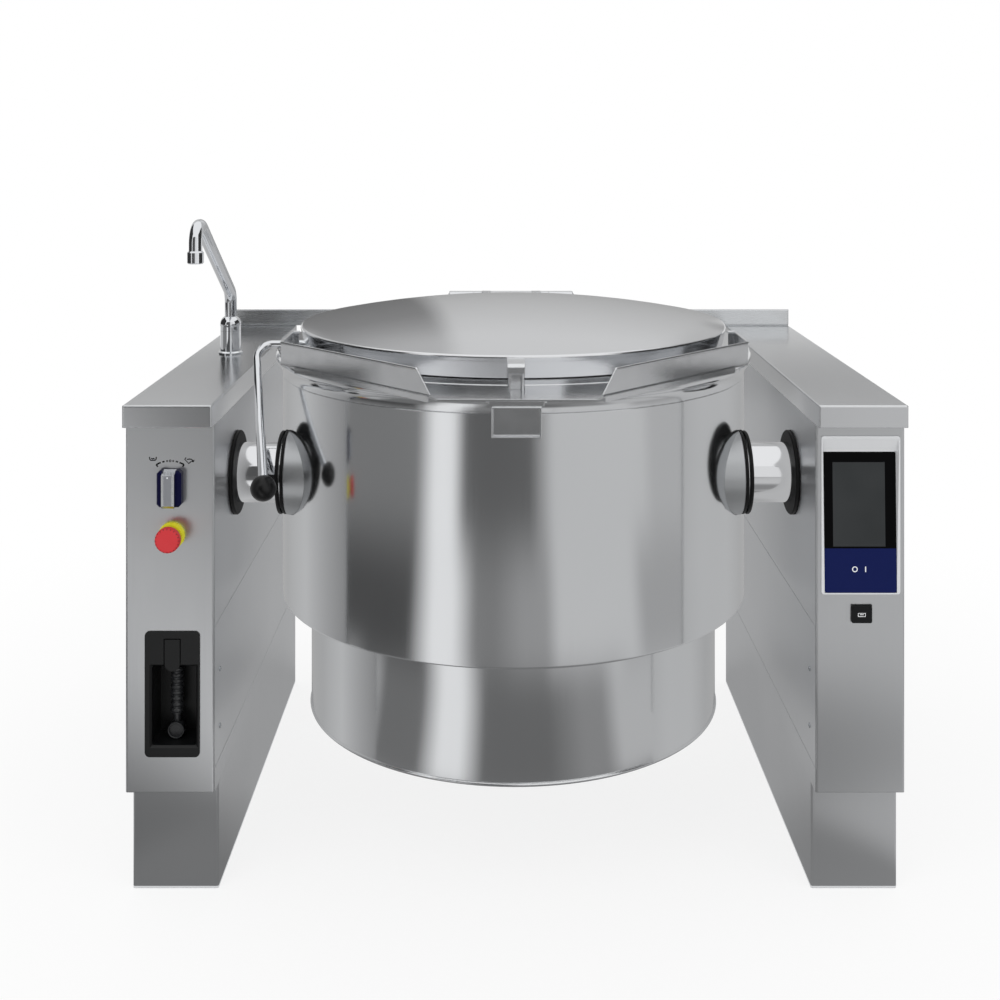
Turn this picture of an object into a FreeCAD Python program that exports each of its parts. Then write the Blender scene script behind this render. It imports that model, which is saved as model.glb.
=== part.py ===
import FreeCAD, Part
import math
import os

# Tilting boiling pan between two floor-standing columns, in millimetres.
# The origin is on the floor under the vessel's axis, +Z is up, and the user stands at -Y.

V = FreeCAD.Vector
os.makedirs("parts", exist_ok=True)

# Clearances
tiny = 1e-3
running_gap = 0.05
free_gap = 0.3
panel_gap = 0.5

# Columns
unit_width = 1400.0
column_width = 160.0
rear_y = 600.0
cap_front_y = -400.0
cap_top_z = 900.0
cap_height = 40.0
cap_overhang = 24.0
cap_edge_radius = 3.0
corner_radius = 4.0
sheet = 2.0
jamb_width = 60.0
seam_z = 497.0
tray_top_z = 243.0
screw_inset = 45.0
screw_heights = (300.0, 404.0)
screw_radius = 2.5
screw_head_radius = 4.5
screw_head_height = 1.8

# Plinths
plinth_height = 200.0
plinth_setback = 50.0
plinth_inset = 3.0
plinth_sheet = 3.0
floor_flange_width = 30.0
floor_flange_thickness = 4.0
floor_bolt_radius = 6.0
floor_bolt_end_inset = 40.0

# Rear rail
rail_height = 40.0
rail_thickness = 8.0
rail_groove = 3.0

# Frame inside a column
frame_tube = 40.0
frame_gap = 4.0
frame_front_y = -300.0
bearing_bay = 170.0

# Tilt axis, shafts and drive
axis_y = -175.0
axis_z = 725.0
shaft_radius = 25.0
shaft_end_gap = 10.0
cable_bore_radius = 12.0
tube_radius = 57.0
tube_entry = 6.0
boss_radius = 80.0
boss_root_x = 300.0
disc_radius = 79.0
disc_thickness = 6.0
disc_spacer = 3.0
ring_radius = 80.0
ring_thickness = 8.0
bearing_radius = 48.0
bearing_width = 36.0
bearing_height = 70.0
gearbox_radius = 72.0
gearbox_width = 80.0
gearbox_gap = 12.0
worm_drop = 85.0
worm_case_half = 80.0
worm_case_below = 38.0
gearbox_shoe_half = 60.0
gearbox_foot_below = 78.0
gearbox_foot_above = 30.0
motor_radius = 40.0
motor_length = 220.0
motor_flange = 12.0
motor_fin = 12.0
motor_fin_depth = 4.0
motor_neck = 14.0
motor_cowl = 50.0
terminal_half_width = 28.0

# Vessel
pan_radius = 410.0
pan_sheet = 3.0
pan_bottom_z = 380.0
pan_corner_radius = 180.0
jacket_space = 30.0
jacket_sheet = 3.0
jacket_top_z = 760.0
jacket_step_z = 467.0
jacket_bottom_z = 350.0
jacket_neck_step = 40.0
jacket_corner_radius = 60.0
cladding_space = 32.0
drum_sheet = 2.0
drum_bottom_z = 458.0
drum_fold_radius = 4.0
drum_seam_z = 900.0
skirt_space = 14.0
skirt_bottom_z = 228.0
element_radii = (120.0, 200.0, 280.0)
element_rod_radius = 4.25

# Rim, pouring lip and splash guards
bead_overhang = 14.0
rim_bottom_z = 948.0
rim_sheet = 3.0
rim_ring_rise = 1.0
rim_ring_width = 70.0
lip_reach = 120.0
lip_half_width = 131.0
lip_corner_x = 147.0
lip_corner_setback = 27.0
lip_ledge = 5.0
ledge_end_x = 408.0
lip_fold_height = 8.0
hinge_tab_half_width = 152.0
hinge_tab_rear = 22.0
guard_top_z = 993.0
guard_start_x = 142.0
guard_start_setback = 29.0
guard_corner_inset = 42.0
guard_corner_y = -264.0
guard_rear_y = -128.0
guard_return = 13.0
guard_sheet = 2.0
guard_hem_radius = 2.4
guard_slant = 36.0

# Bracket under the lip and the catch in front of the lid
bracket_half_width = 41.5
bracket_top_z = 938.0
bracket_bottom_z = 887.0
bracket_depth = 12.0
bracket_edge = 2.5
bracket_strip_half_width = 45.5
bracket_pin_radius = 3.0
bracket_pin_half_length = 50.0
catch_half_width = 15.0
catch_setback = 66.0
catch_depth = 18.0
catch_post_top_z = 979.7
catch_top_z = 997.0

# Lid and its hinge
lid_overlap = 26.0
lid_taper = 8.0
lid_sheet = 2.0
lid_shoulder_radius = 5.0
lid_shoulder_z = 990.0
lid_apex_z = 1039.0
lid_skirt_z = 953.6
seal_depth = 6.0
hinge_setback = 36.0
hinge_z = 984.0
hinge_pin_radius = 8.0
hinge_barrel_radius = 17.0
hinge_arm_barrel_half = 90.0
hinge_half_length = 150.0
hinge_side_gap = 1.0
hinge_arm_x = 60.0
hinge_arm_width = 20.0
hinge_arm_reach = 70.0

# Lid lever on the left side
lever_y = -105.0
lever_z = 963.0
lever_bend_reach = 78.0
lever_radius = 7.5
lever_end_radius = 9.5
lever_bend_radius = 30.0
lever_boss_radius = 8.0
lever_ball = (-465.0, -303.0, 727.0)
lever_ball_radius = 24.0

# Tap on the left column
tap_y = 169.0
tap_body_radius = 22.5
tap_body_height = 50.0
tap_dome_height = 31.0
tap_neck_radius = 13.0
tap_bend_z = 1032.0
tap_reach = 342.5
tap_peak_z = 1226.0
tap_bend_radius = 34.0
tap_outlet_z = 1130.0
tap_pivot_radius = 10.0
tap_pivot_depth = 25.0
aerator_radius = 16.0
aerator_height = 25.0
valve_tail_radius = 14.0
valve_nut_radius = 22.0
valve_nut_height = 12.0
valve_top_drop = 68.0
valve_body_height = 42.0
valve_body_half = 22.0
valve_body_overhang = 12.0
inlet_spacing = 40.0
inlet_offset = 10.0
inlet_rise = 10.0
inlet_radius = 10.48
inlet_bottom_z = 160.0
inlet_nut_radius = 15.0
inlet_nut_height = 5.0
pipe_radius = 7.0

# Tilt knob and emergency stop
knob_offset = 2.0
knob_z = 749.0
knob_width = 44.0
knob_height = 65.0
knob_base_depth = 18.0
knob_depth = 28.0
knob_corner = 5.0
knob_base_bevel = 3.0
knob_top_bevel = 6.0
knob_foot_bevel = 5.0
knob_edge = 2.0
knob_seat = 3.0
knob_grip_width = 23.0
knob_stem_radius = 4.0
stop_offset = 4.0
stop_z = 663.0
stop_collar_radius = 23.5
stop_collar_depth = 14.0
stop_head_radius = 22.5
stop_head_depth = 22.0
stop_head_gap = 4.3
stop_head_crown = 0.8
stop_stem_grip = 12.0
stop_stem_radius = 5.0
panel_hole_radius = 11.25
block_width = 30.0
block_height = 40.0
block_depth = 40.0

# Spray gun recess on the left column
recess_reach = (45.0, 54.0)
recess_z = (264.0, 490.0)
recess_flange = 2.0
recess_depth = 70.0
recess_wall = 4.0
recess_corner_radius = 9.0
recess_open_reach = (33.0, 47.0)
recess_open_z = (284.0, 427.0)
tongue_offset = 4.5
tongue_width = 27.0
tongue_z = (418.0, 475.0)
tongue_groove = 2.0
tongue_groove_depth = 5.0
gun_y = -338.0
gun_top_z = 413.0
gun_grip_bottom_z = 328.0
gun_rib_radius = 12.0
gun_core_radius = 10.0
gun_rib_count = 8
gun_head_z = 300.0
gun_head_radius = 15.0
gun_head_front_y = -352.0
gun_head_depth = 22.0
gun_rest_radius = 9.0

# Display and port on the right column
bezel_reach = (70.0, 71.5)
bezel_z = (556.5, 840.5)
bezel_flange = 2.0
bezel_depth = 24.0
bezel_inset = 1.5
bezel_rim = 1.5
glass_reach = (64.5, 65.5)
glass_z = (559.0, 810.5)
glass_lean = 9.0
glass_thickness = 4.0
glass_corner_radius = 5.0
port_offset = 2.0
port_z = 521.0
port_width = 37.0
port_height = 31.6
port_cover_thickness = 3.0
port_corner_radius = 3.0
port_ear_width = 3.0
port_ear_height = 4.0
port_ear_inset = 2.0
port_case_width = 28.0
port_case_depth = 24.0
port_case_drop = 12.0
port_case_rise = 8.0
port_slot_width = 12.0
port_slot_height = 5.0
port_slot_depth = 14.0
port_rail_depth = 4.0
control_box_y = (100.0, 400.0)
control_box_z = (300.0, 700.0)
control_box_width = 98.0
gland_offset = 20.0
gland_y = 450.0
gland_bore_radius = 9.0

# Places that follow from the sizes above
half_width = unit_width / 2
inner_x = half_width - column_width
middle_x = half_width - column_width / 2
cap_bottom_z = cap_top_z - cap_height
body_front_y = cap_front_y + cap_overhang
plinth_front_y = body_front_y + plinth_setback
panel_back_y = body_front_y + sheet
column_floor_z = plinth_height + sheet
frame_x0 = inner_x + 2 * sheet + frame_gap
frame_x1 = frame_x0 + frame_tube
bearing_front_y = axis_y - bearing_bay / 2
bearing_rear_y = axis_y + bearing_bay / 2
rim_ring_top_z = rim_bottom_z + rim_sheet + rim_ring_rise
lip_top_z = rim_bottom_z + rim_sheet
jacket_radius = pan_radius + jacket_space
jacket_neck_radius = jacket_radius - jacket_neck_step
drum_radius = jacket_radius + cladding_space
skirt_radius = jacket_neck_radius + skirt_space
bead_radius = drum_radius + bead_overhang
rim_ring_radius = pan_radius + rim_ring_width
lip_front_y = -rim_ring_radius - lip_reach
lip_corner = (lip_corner_x, lip_front_y + lip_corner_setback)
guard_corner_x = rim_ring_radius - guard_corner_inset
guard_path = (
    (guard_start_x, lip_front_y + guard_start_setback),
    (guard_corner_x, guard_corner_y),
    (guard_corner_x, guard_rear_y),
    (guard_corner_x - guard_return, guard_rear_y),
)
tube_end_x = inner_x + tube_entry
shaft_end_x = half_width - shaft_end_gap
boss_face_x = math.sqrt(drum_radius ** 2 - axis_y ** 2)
lid_radius = pan_radius + lid_overlap
lid_foot_radius = lid_radius - lid_taper
catch_front_y = lip_front_y + catch_setback
hinge_y = lid_radius + hinge_setback
hinge_tab_rear_y = hinge_y + hinge_tab_rear
lever_bend_x = -lid_radius - lever_bend_reach
tap_x = -middle_x
knob_x = -middle_x + knob_offset
stop_x = -middle_x + stop_offset
recess_x = (-middle_x - recess_reach[0], -middle_x + recess_reach[1])
recess_open_x = (-middle_x - recess_open_reach[0], -middle_x + recess_open_reach[1])
tongue_x = -middle_x + tongue_offset
bezel_x = (middle_x - bezel_reach[0], middle_x + bezel_reach[1])
glass_x = (middle_x - glass_reach[0], middle_x + glass_reach[1])
port_x = middle_x + port_offset
gland_x = middle_x + gland_offset


def box(x0, x1, y0, y1, z0, z1):
    """Block between the given limits."""
    return Part.makeBox(x1 - x0, y1 - y0, z1 - z0, V(x0, y0, z0))


def rod(start, end, radius):
    """Round bar from one point to another."""
    return Part.makeCylinder(radius, (end - start).Length, start, end - start)


def round_edges(shape, radius, chosen):
    """Fillet on the edges whose bounding box passes the test."""
    edges = [edge for edge in shape.Edges if chosen(edge.BoundBox)]
    return shape.makeFillet(radius, edges)


def near(value, target):
    return abs(value - target) < tiny


def rounded_block(x0, x1, y0, y1, z0, z1, along, radius):
    """Block whose four edges along one axis are rounded."""
    spans = {"x": "XLength", "y": "YLength", "z": "ZLength"}
    return round_edges(
        box(x0, x1, y0, y1, z0, z1), radius, lambda b: getattr(b, spans[along]) > tiny
    )


def closed_wire(items, place):
    """Closed outline: a point draws a line to it, and a pair draws an arc through its first point."""
    here = place(*items[0])
    edges = []
    for item in list(items[1:]) + [items[0]]:
        if isinstance(item[0], tuple):
            end = place(*item[1])
            edges.append(Part.Arc(here, place(*item[0]), end).toShape())
        else:
            end = place(*item)
            if (end - here).Length > tiny:
                edges.append(Part.makeLine(here, end))
        here = end
    return Part.Wire(edges)


def spun(items, centre, axis):
    """Solid of revolution from an outline of (radius, height) points about an axis."""
    side = V(1, 0, 0) if abs(axis.x) < 0.5 else V(0, 0, 1)
    outline = closed_wire(items, lambda r, h: centre + side * r + axis * h)
    return Part.Face(outline).revolve(centre, axis, 360)


def spun_z(items):
    return spun(items, V(0, 0, 0), V(0, 0, 1))


def spun_x(items):
    """Revolved about the tilt axis, with heights along +X from the vessel's middle plane."""
    return spun(items, V(0, axis_y, axis_z), V(1, 0, 0))


def plate_z(points, z0, z1):
    """Flat plate of the given outline between two heights."""
    outline = closed_wire(points, lambda x, y: V(x, y, z0))
    return Part.Face(outline).extrude(V(0, 0, z1 - z0))


def slab_x(points, x0, x1):
    """Solid of a constant (y, z) outline between two places along X."""
    outline = closed_wire(points, lambda y, z: V(x0, y, z))
    return Part.Face(outline).extrude(V(x1 - x0, 0, 0))


def arc_point(centre_r, centre_z, radius, degrees):
    angle = math.radians(degrees)
    return (centre_r + radius * math.cos(angle), centre_z + radius * math.sin(angle))


def left_of(shape):
    """The left-hand twin of a shape drawn on the right."""
    return shape.mirror(V(0, 0, 0), V(1, 0, 0))


def bent_path(points, radius):
    """Straight runs joined by tangent arcs of one radius."""
    edges = []
    here = points[0]
    for before, corner, after in zip(points, points[1:], points[2:]):
        back = (before - corner).normalize()
        ahead = (after - corner).normalize()
        half = back.getAngle(ahead) / 2
        run = radius / math.tan(half)
        start = corner + back * run
        end = corner + ahead * run
        centre = corner + (back + ahead).normalize() * (radius / math.sin(half))
        middle = centre + (corner - centre).normalize() * radius
        edges.append(Part.makeLine(here, start))
        edges.append(Part.Arc(start, middle, end).toShape())
        here = end
    edges.append(Part.makeLine(here, points[-1]))
    return Part.Wire(edges)


def bent_rod(points, rod_radius, bend_radius):
    """Round bar along straight runs and bends."""
    path = bent_path(points, bend_radius)
    end = Part.Wire(
        Part.makeCircle(rod_radius, points[0], points[1] - points[0])
    )
    return path.makePipeShell([end], True, True)


# Columns

def screw_places():
    """Where the screws of a lower inner panel sit, as (y, z)."""
    sides = (panel_back_y + screw_inset, rear_y - sheet - screw_inset)
    return [(y, z) for y in sides for z in screw_heights]


def screw_holes():
    holes = [
        rod(V(inner_x - 1, y, z), V(inner_x + 3 * sheet, y, z), screw_radius + 0.1)
        for y, z in screw_places()
    ]
    return Part.makeCompound(holes)


def column_casing():
    """Front, outer side, rear and floor bent from sheet, with a low upstand on the inner side."""
    outer = box(inner_x, half_width, body_front_y, rear_y, plinth_height, cap_bottom_z)
    outer = round_edges(
        outer, corner_radius,
        lambda b: b.ZLength > tiny and (near(b.YMin, body_front_y) or near(b.XMin, half_width)),
    )
    cavity = rounded_block(
        inner_x - corner_radius, half_width - sheet, panel_back_y, rear_y - sheet,
        column_floor_z, cap_bottom_z + 1, "z", corner_radius - sheet,
    )
    shell = outer.cut(cavity)
    upstand = box(
        inner_x, inner_x + sheet, panel_back_y, rear_y - sheet, plinth_height, tray_top_z - panel_gap
    )
    jamb_x0 = inner_x + sheet
    front_jamb = box(
        jamb_x0, jamb_x0 + sheet, panel_back_y, panel_back_y + jamb_width, plinth_height, cap_bottom_z
    )
    rear_jamb = box(
        jamb_x0, jamb_x0 + sheet, rear_y - sheet - jamb_width, rear_y - sheet, plinth_height, cap_bottom_z
    )
    return shell.fuse([upstand, front_jamb, rear_jamb]).removeSplitter().cut(screw_holes())


def inner_panel(z0, z1):
    return box(
        inner_x, inner_x + sheet, panel_back_y + panel_gap, rear_y - sheet - panel_gap, z0, z1
    )


def inner_panel_upper():
    """Inner side panel with the round hole for the tilt tube."""
    panel = inner_panel(seam_z + panel_gap, cap_bottom_z)
    hole = rod(V(inner_x - 1, axis_y, axis_z), V(inner_x + 10, axis_y, axis_z), tube_radius + 4)
    return panel.cut(hole)


def inner_panel_lower():
    return inner_panel(tray_top_z + panel_gap, seam_z - panel_gap).cut(screw_holes())


def column_cap():
    """Folded top with a front overhang that is closed underneath."""
    outer = box(inner_x, half_width, cap_front_y, rear_y, cap_bottom_z, cap_top_z)
    outer = round_edges(
        outer, cap_edge_radius,
        lambda b: (b.ZLength > tiny and near(b.YMax, cap_front_y))
        or (near(b.ZMin, cap_top_z) and not near(b.YMin, rear_y)),
    )
    under = box(
        inner_x + sheet, half_width - sheet, panel_back_y, rear_y - sheet,
        cap_bottom_z - 1, cap_top_z - sheet,
    )
    nose = box(
        inner_x + sheet, half_width - sheet, cap_front_y + sheet, panel_back_y,
        cap_bottom_z + sheet, cap_top_z - sheet,
    )
    return outer.cut(under).cut(nose)


def floor_bolt_places():
    xs = (
        inner_x + plinth_inset + floor_flange_width * 0.6,
        half_width - floor_flange_width * 0.6,
    )
    ys = (plinth_front_y + floor_bolt_end_inset, rear_y - floor_bolt_end_inset)
    return [(x, y) for x in xs for y in ys]


def plinth():
    """Closed foot of the column, with an inward flange that bolts to the floor."""
    x0 = inner_x + plinth_inset
    outer = rounded_block(
        x0, half_width, plinth_front_y, rear_y, 0, plinth_height, "z", corner_radius
    )
    inside = box(
        x0 + plinth_sheet, half_width - plinth_sheet,
        plinth_front_y + plinth_sheet, rear_y - plinth_sheet,
        floor_flange_thickness, plinth_height + 1,
    )
    hole = box(
        x0 + floor_flange_width, half_width - floor_flange_width,
        plinth_front_y + floor_flange_width, rear_y - floor_flange_width,
        -1, floor_flange_thickness + 1,
    )
    bolts = [
        rod(V(x, y, -1), V(x, y, floor_flange_thickness + 1), floor_bolt_radius)
        for x, y in floor_bolt_places()
    ]
    return outer.cut([inside, hole] + bolts)


def rear_rail():
    """Narrow rail across both columns, with a shadow groove along its foot."""
    bar = box(
        -half_width, half_width, rear_y - rail_thickness, rear_y, cap_top_z, cap_top_z + rail_height
    )
    bar = round_edges(
        bar, 2.0,
        lambda b: (b.ZLength > tiny and near(b.YMin, rear_y - rail_thickness))
        or (b.XLength > tiny and near(b.ZMin, cap_top_z + rail_height)),
    )
    groove = box(
        -half_width - 1, half_width + 1,
        rear_y - rail_thickness - 1, rear_y - rail_thickness + rail_groove,
        cap_top_z - 1, cap_top_z + rail_groove,
    )
    return bar.cut(groove)


def column_frame():
    """Welded ladder of square tube that carries the tilt bearing and the cap."""
    rear_end = rear_y - sheet - frame_gap
    cap_inside_z = cap_top_z - sheet
    rails = [
        (frame_front_y, rear_end, column_floor_z, column_floor_z + frame_tube),
        (frame_front_y, rear_end, cap_inside_z - frame_tube, cap_inside_z),
    ]
    posts = [
        (bearing_front_y - frame_tube, bearing_front_y),
        (bearing_rear_y, bearing_rear_y + frame_tube),
        (rear_end - frame_tube, rear_end),
    ]
    beam_top = axis_z - bearing_height
    bars = [box(frame_x0, frame_x1, y0, y1, z0, z1) for y0, y1, z0, z1 in rails]
    bars += [box(frame_x0, frame_x1, y0, y1, column_floor_z, cap_inside_z) for y0, y1 in posts]
    bars.append(
        box(frame_x0, frame_x1, bearing_front_y, bearing_rear_y, beam_top - frame_tube, beam_top)
    )
    return bars[0].fuse(bars[1:]).removeSplitter()


def trunnion_bearing():
    """Pillow block on the frame's beam, bored for the tilt shaft."""
    x0 = frame_x0 + (frame_tube - bearing_width) / 2
    x1 = x0 + bearing_width
    foot_z = axis_z - bearing_height
    foot_half = bearing_bay / 2 - 5
    barrel = rod(V(x0, axis_y, axis_z), V(x1, axis_y, axis_z), bearing_radius)
    web = slab_x(
        [
            (axis_y - bearing_radius - 14, foot_z), (axis_y + bearing_radius + 14, foot_z),
            (axis_y + bearing_radius * 0.8, axis_z), (axis_y - bearing_radius * 0.8, axis_z),
        ],
        x0, x1,
    )
    foot = box(x0, x1, axis_y - foot_half, axis_y + foot_half, foot_z, foot_z + 18)
    bore = rod(
        V(x0 - 1, axis_y, axis_z), V(x1 + 1, axis_y, axis_z), shaft_radius + running_gap
    )
    return barrel.fuse([web, foot]).removeSplitter().cut(bore)


def column_seal():
    """Rubber ring around the tilt tube on a column's inner side."""
    ring = [
        (tube_radius + free_gap, inner_x - ring_thickness),
        (ring_radius - 2, inner_x - ring_thickness),
        (ring_radius, inner_x - ring_thickness + 2),
        (ring_radius, inner_x),
        (tube_radius + free_gap, inner_x),
    ]
    return spun_x(ring)


def worm_height():
    return axis_z - worm_drop


def tilt_gearbox():
    """Worm gearbox with a hollow shaft, on a foot plate that bolts to the frame."""
    x0 = frame_x1 + gearbox_gap
    x1 = x0 + gearbox_width
    middle = (x0 + x1) / 2
    z = worm_height()
    half = worm_case_half
    wheel_case = rod(V(x0, axis_y, axis_z), V(x1, axis_y, axis_z), gearbox_radius)
    worm_case = box(x0, x1, axis_y - half, axis_y + half, z - worm_case_below, axis_z - shaft_radius)
    worm_case = round_edges(worm_case, 8, lambda b: b.YLength > tiny)
    foot = box(
        frame_x1, x0 + gearbox_gap / 2, bearing_front_y - frame_tube, bearing_rear_y + frame_tube,
        z - gearbox_foot_below, z - gearbox_foot_above,
    )
    shoe = box(
        x0, x1, axis_y - gearbox_shoe_half, axis_y + gearbox_shoe_half,
        z - gearbox_shoe_half, z - gearbox_foot_above,
    )
    flange = rod(
        V(middle, axis_y + half, z), V(middle, axis_y + half + motor_flange, z),
        motor_radius - motor_fin_depth,
    )
    bore = rod(V(x0 - 1, axis_y, axis_z), V(x1 + 1, axis_y, axis_z), shaft_radius + running_gap)
    case = wheel_case.fuse([worm_case, foot, shoe, flange]).removeSplitter()
    return left_of(case.cut(bore))


def tilt_motor():
    """Finned motor behind the gearbox, with a fan cowl and a terminal box."""
    middle = frame_x1 + gearbox_gap + gearbox_width / 2
    z = worm_height()
    core = motor_radius - motor_fin_depth
    start = axis_y + worm_case_half + motor_flange
    end = start + motor_length
    y = start + motor_neck
    profile = [(0, start), (core, start), (core, y)]
    while y + motor_fin < end - motor_cowl:
        profile += [(motor_radius, y), (motor_radius, y + motor_fin / 2)]
        profile += [(core, y + motor_fin / 2), (core, y + motor_fin)]
        y += motor_fin
    profile += [(motor_radius, y), (motor_radius, end - 8), (motor_radius - 8, end), (0, end)]
    body = spun(profile, V(middle, 0, z), V(0, 1, 0))
    terminals = box(
        middle - terminal_half_width, middle + terminal_half_width,
        start + motor_radius, start + motor_length / 2, z + motor_radius / 2, z + motor_radius * 1.45,
    )
    return left_of(body.fuse(terminals).removeSplitter())


def panel_screws():
    """All the pan-head screws of both lower inner panels."""
    screws = []
    for y, z in screw_places():
        shank = rod(V(inner_x, y, z), V(inner_x + 3 * sheet, y, z), screw_radius)
        head = rod(V(inner_x - screw_head_height, y, z), V(inner_x, y, z), screw_head_radius)
        head = head.makeFillet(
            screw_head_height * 0.6,
            [e for e in head.Edges if near(e.BoundBox.XMax, inner_x - screw_head_height)],
        )
        screw = head.fuse(shank).removeSplitter()
        screws += [screw, left_of(screw)]
    return Part.makeCompound(screws)


# Fittings of the left column

def recess_housing():
    """Moulded black pocket for the spray gun, with a flush tongue over its mouth."""
    flange = rounded_block(
        recess_x[0], recess_x[1], body_front_y - recess_flange, body_front_y,
        recess_z[0], recess_z[1], "y", recess_corner_radius,
    )
    body = box(
        recess_x[0] + recess_wall, recess_x[1] - recess_wall,
        body_front_y, body_front_y + recess_depth,
        recess_z[0] + recess_wall, recess_z[1] - recess_wall,
    )
    pocket = rounded_block(
        recess_open_x[0], recess_open_x[1],
        body_front_y - recess_flange - 1, body_front_y + recess_depth - recess_wall,
        recess_open_z[0], recess_open_z[1], "y", recess_wall,
    )
    mouth_y = body_front_y - recess_flange
    flare = Part.makeLoft(
        [
            mouth_outline(mouth_y - tiny, recess_wall - 0.5),
            mouth_outline(mouth_y + recess_wall, 0),
        ],
        True, True,
    )
    groove = tongue(tongue_groove, mouth_y - 1, mouth_y + tongue_groove_depth)
    blade = tongue(0, mouth_y, mouth_y + tongue_groove_depth + recess_wall)
    rest = rod(
        V(tongue_x, body_front_y + recess_depth - 1, gun_head_z),
        V(tongue_x, gun_head_front_y + gun_head_depth + free_gap, gun_head_z),
        gun_rest_radius,
    )
    shell = flange.fuse(body).removeSplitter().cut(pocket).cut(flare).cut(groove)
    return shell.fuse([blade, rest]).removeSplitter()


def mouth_outline(y, spread):
    """Rectangle of the pocket's mouth, spread outward by a chamfer."""
    corners = [
        V(recess_open_x[0] - spread, y, recess_open_z[0] - spread),
        V(recess_open_x[1] + spread, y, recess_open_z[0] - spread),
        V(recess_open_x[1] + spread, y, recess_open_z[1] + spread),
        V(recess_open_x[0] - spread, y, recess_open_z[1] + spread),
    ]
    return Part.makePolygon(corners + corners[:1])


def tongue(spread, y0, y1):
    """Tab with a round lower end, widened by the given amount."""
    half = tongue_width / 2 + spread
    round_z = tongue_z[0] + tongue_width / 2
    outline = closed_wire(
        [
            (tongue_x - half, tongue_z[1] + spread),
            (tongue_x - half, round_z),
            ((tongue_x, round_z - half), (tongue_x + half, round_z)),
            (tongue_x + half, tongue_z[1] + spread),
        ],
        lambda x, z: V(x, y0, z),
    )
    return Part.Face(outline).extrude(V(0, y1 - y0, 0))


def spray_gun():
    """Hand spray: ribbed grip, slim neck and a round nozzle head that faces the user."""
    pitch = (gun_top_z - gun_grip_bottom_z) / gun_rib_count
    profile = [(0, gun_head_z), (6.5, gun_head_z), (6.5, gun_grip_bottom_z)]
    for n in range(gun_rib_count):
        low = gun_grip_bottom_z + n * pitch
        profile += [
            (gun_core_radius, low),
            (gun_core_radius, low + pitch * 0.25),
            ((gun_rib_radius, low + pitch * 0.6), (gun_core_radius, low + pitch * 0.95)),
        ]
    profile += [(gun_core_radius, gun_top_z), (0, gun_top_z)]
    grip = spun(profile, V(tongue_x, gun_y, 0), V(0, 0, 1))
    depth = gun_head_depth
    head = spun(
        [
            (0, depth), (gun_head_radius - 5, depth), (gun_head_radius, depth - 6),
            (gun_head_radius, 2), ((gun_head_radius - 1.5, 0), (gun_head_radius - 3, 2)),
            (gun_head_radius - 3.5, 5), (0, 5),
        ],
        V(tongue_x, gun_head_front_y, gun_head_z), V(0, 1, 0),
    )
    return grip.fuse(head).removeSplitter()


def contact_blocks():
    """Switch blocks behind the knob and the emergency stop."""
    blocks = []
    for x, z, stem in (
        (knob_x, knob_z, knob_stem_radius),
        (stop_x, stop_z, stop_stem_radius),
    ):
        block = box(
            x - block_width / 2, x + block_width / 2, panel_back_y, panel_back_y + block_depth,
            z - block_height / 2, z + block_height / 2,
        )
        bore = rod(V(x, panel_back_y - 1, z), V(x, panel_back_y + block_depth + 1, z), stem + running_gap)
        blocks.append(block.cut(bore))
    return Part.makeCompound(blocks)


def tilt_knob():
    """Dark base of the rotary tilt switch, slotted for its grip, with its stem."""
    front = body_front_y - free_gap
    half_w = knob_width / 2
    half_h = knob_height / 2
    cut = knob_corner
    corners = [
        (-half_w, -half_h + cut), (-half_w + cut, -half_h), (half_w - cut, -half_h),
        (half_w, -half_h + cut), (half_w, half_h - cut), (half_w - cut, half_h),
        (-half_w + cut, half_h), (-half_w, half_h - cut),
    ]
    outline = closed_wire(corners, lambda x, z: V(knob_x + x, front, knob_z + z))
    base = Part.Face(outline).extrude(V(0, -knob_base_depth, 0))
    base = base.makeChamfer(
        knob_base_bevel, [e for e in base.Edges if near(e.BoundBox.YMax, front - knob_base_depth)]
    )
    slot = box(
        knob_x - knob_grip_width / 2, knob_x + knob_grip_width / 2,
        front - knob_depth, front - knob_seat, knob_z - half_h - 1, knob_z + half_h + 1,
    )
    stem = rod(
        V(knob_x, front - tiny, knob_z),
        V(knob_x, panel_back_y + block_depth, knob_z), knob_stem_radius,
    )
    return base.cut(slot).fuse(stem).removeSplitter()


def knob_grip():
    """Light grip bar across the knob, bevelled at its top, foot and long edges."""
    front = body_front_y - free_gap
    face = front - knob_depth
    half_w = knob_grip_width / 2
    foot = knob_z - knob_height / 2
    top = knob_z + knob_height / 2
    side = [
        (front - knob_seat, foot), (face + knob_foot_bevel, foot), (face, foot + knob_foot_bevel),
        (face, top - knob_top_bevel), (front - knob_seat, top),
    ]
    bar = slab_x(side, knob_x - half_w, knob_x + half_w)
    return bar.makeChamfer(
        knob_edge,
        [
            e for e in bar.Edges
            if near(e.BoundBox.YMin, e.BoundBox.YMax) and near(e.BoundBox.YMin, face)
            and e.BoundBox.ZLength > tiny
        ],
    )


def stop_collar():
    """Yellow collar of the emergency stop, with a groove round its middle."""
    height = stop_collar_depth
    r = stop_collar_radius
    return spun(
        [
            (stop_stem_radius + free_gap, 0), (r, 0), (r, height * 0.36), (r - 1.5, height * 0.44),
            (r - 1.5, height * 0.54), (r, height * 0.62), (r - 2.5, height),
            (r - 6, height), (r - 7, height - 4), (stop_stem_radius + free_gap, height - 4),
        ],
        V(stop_x, body_front_y, stop_z), V(0, -1, 0),
    )


def stop_stem():
    """Plunger of the emergency stop, from the contact block into the head."""
    tip = body_front_y - stop_collar_depth - stop_head_gap - stop_stem_grip
    return rod(
        V(stop_x, panel_back_y + block_depth - 6, stop_z), V(stop_x, tip, stop_z), stop_stem_radius
    )


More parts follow.
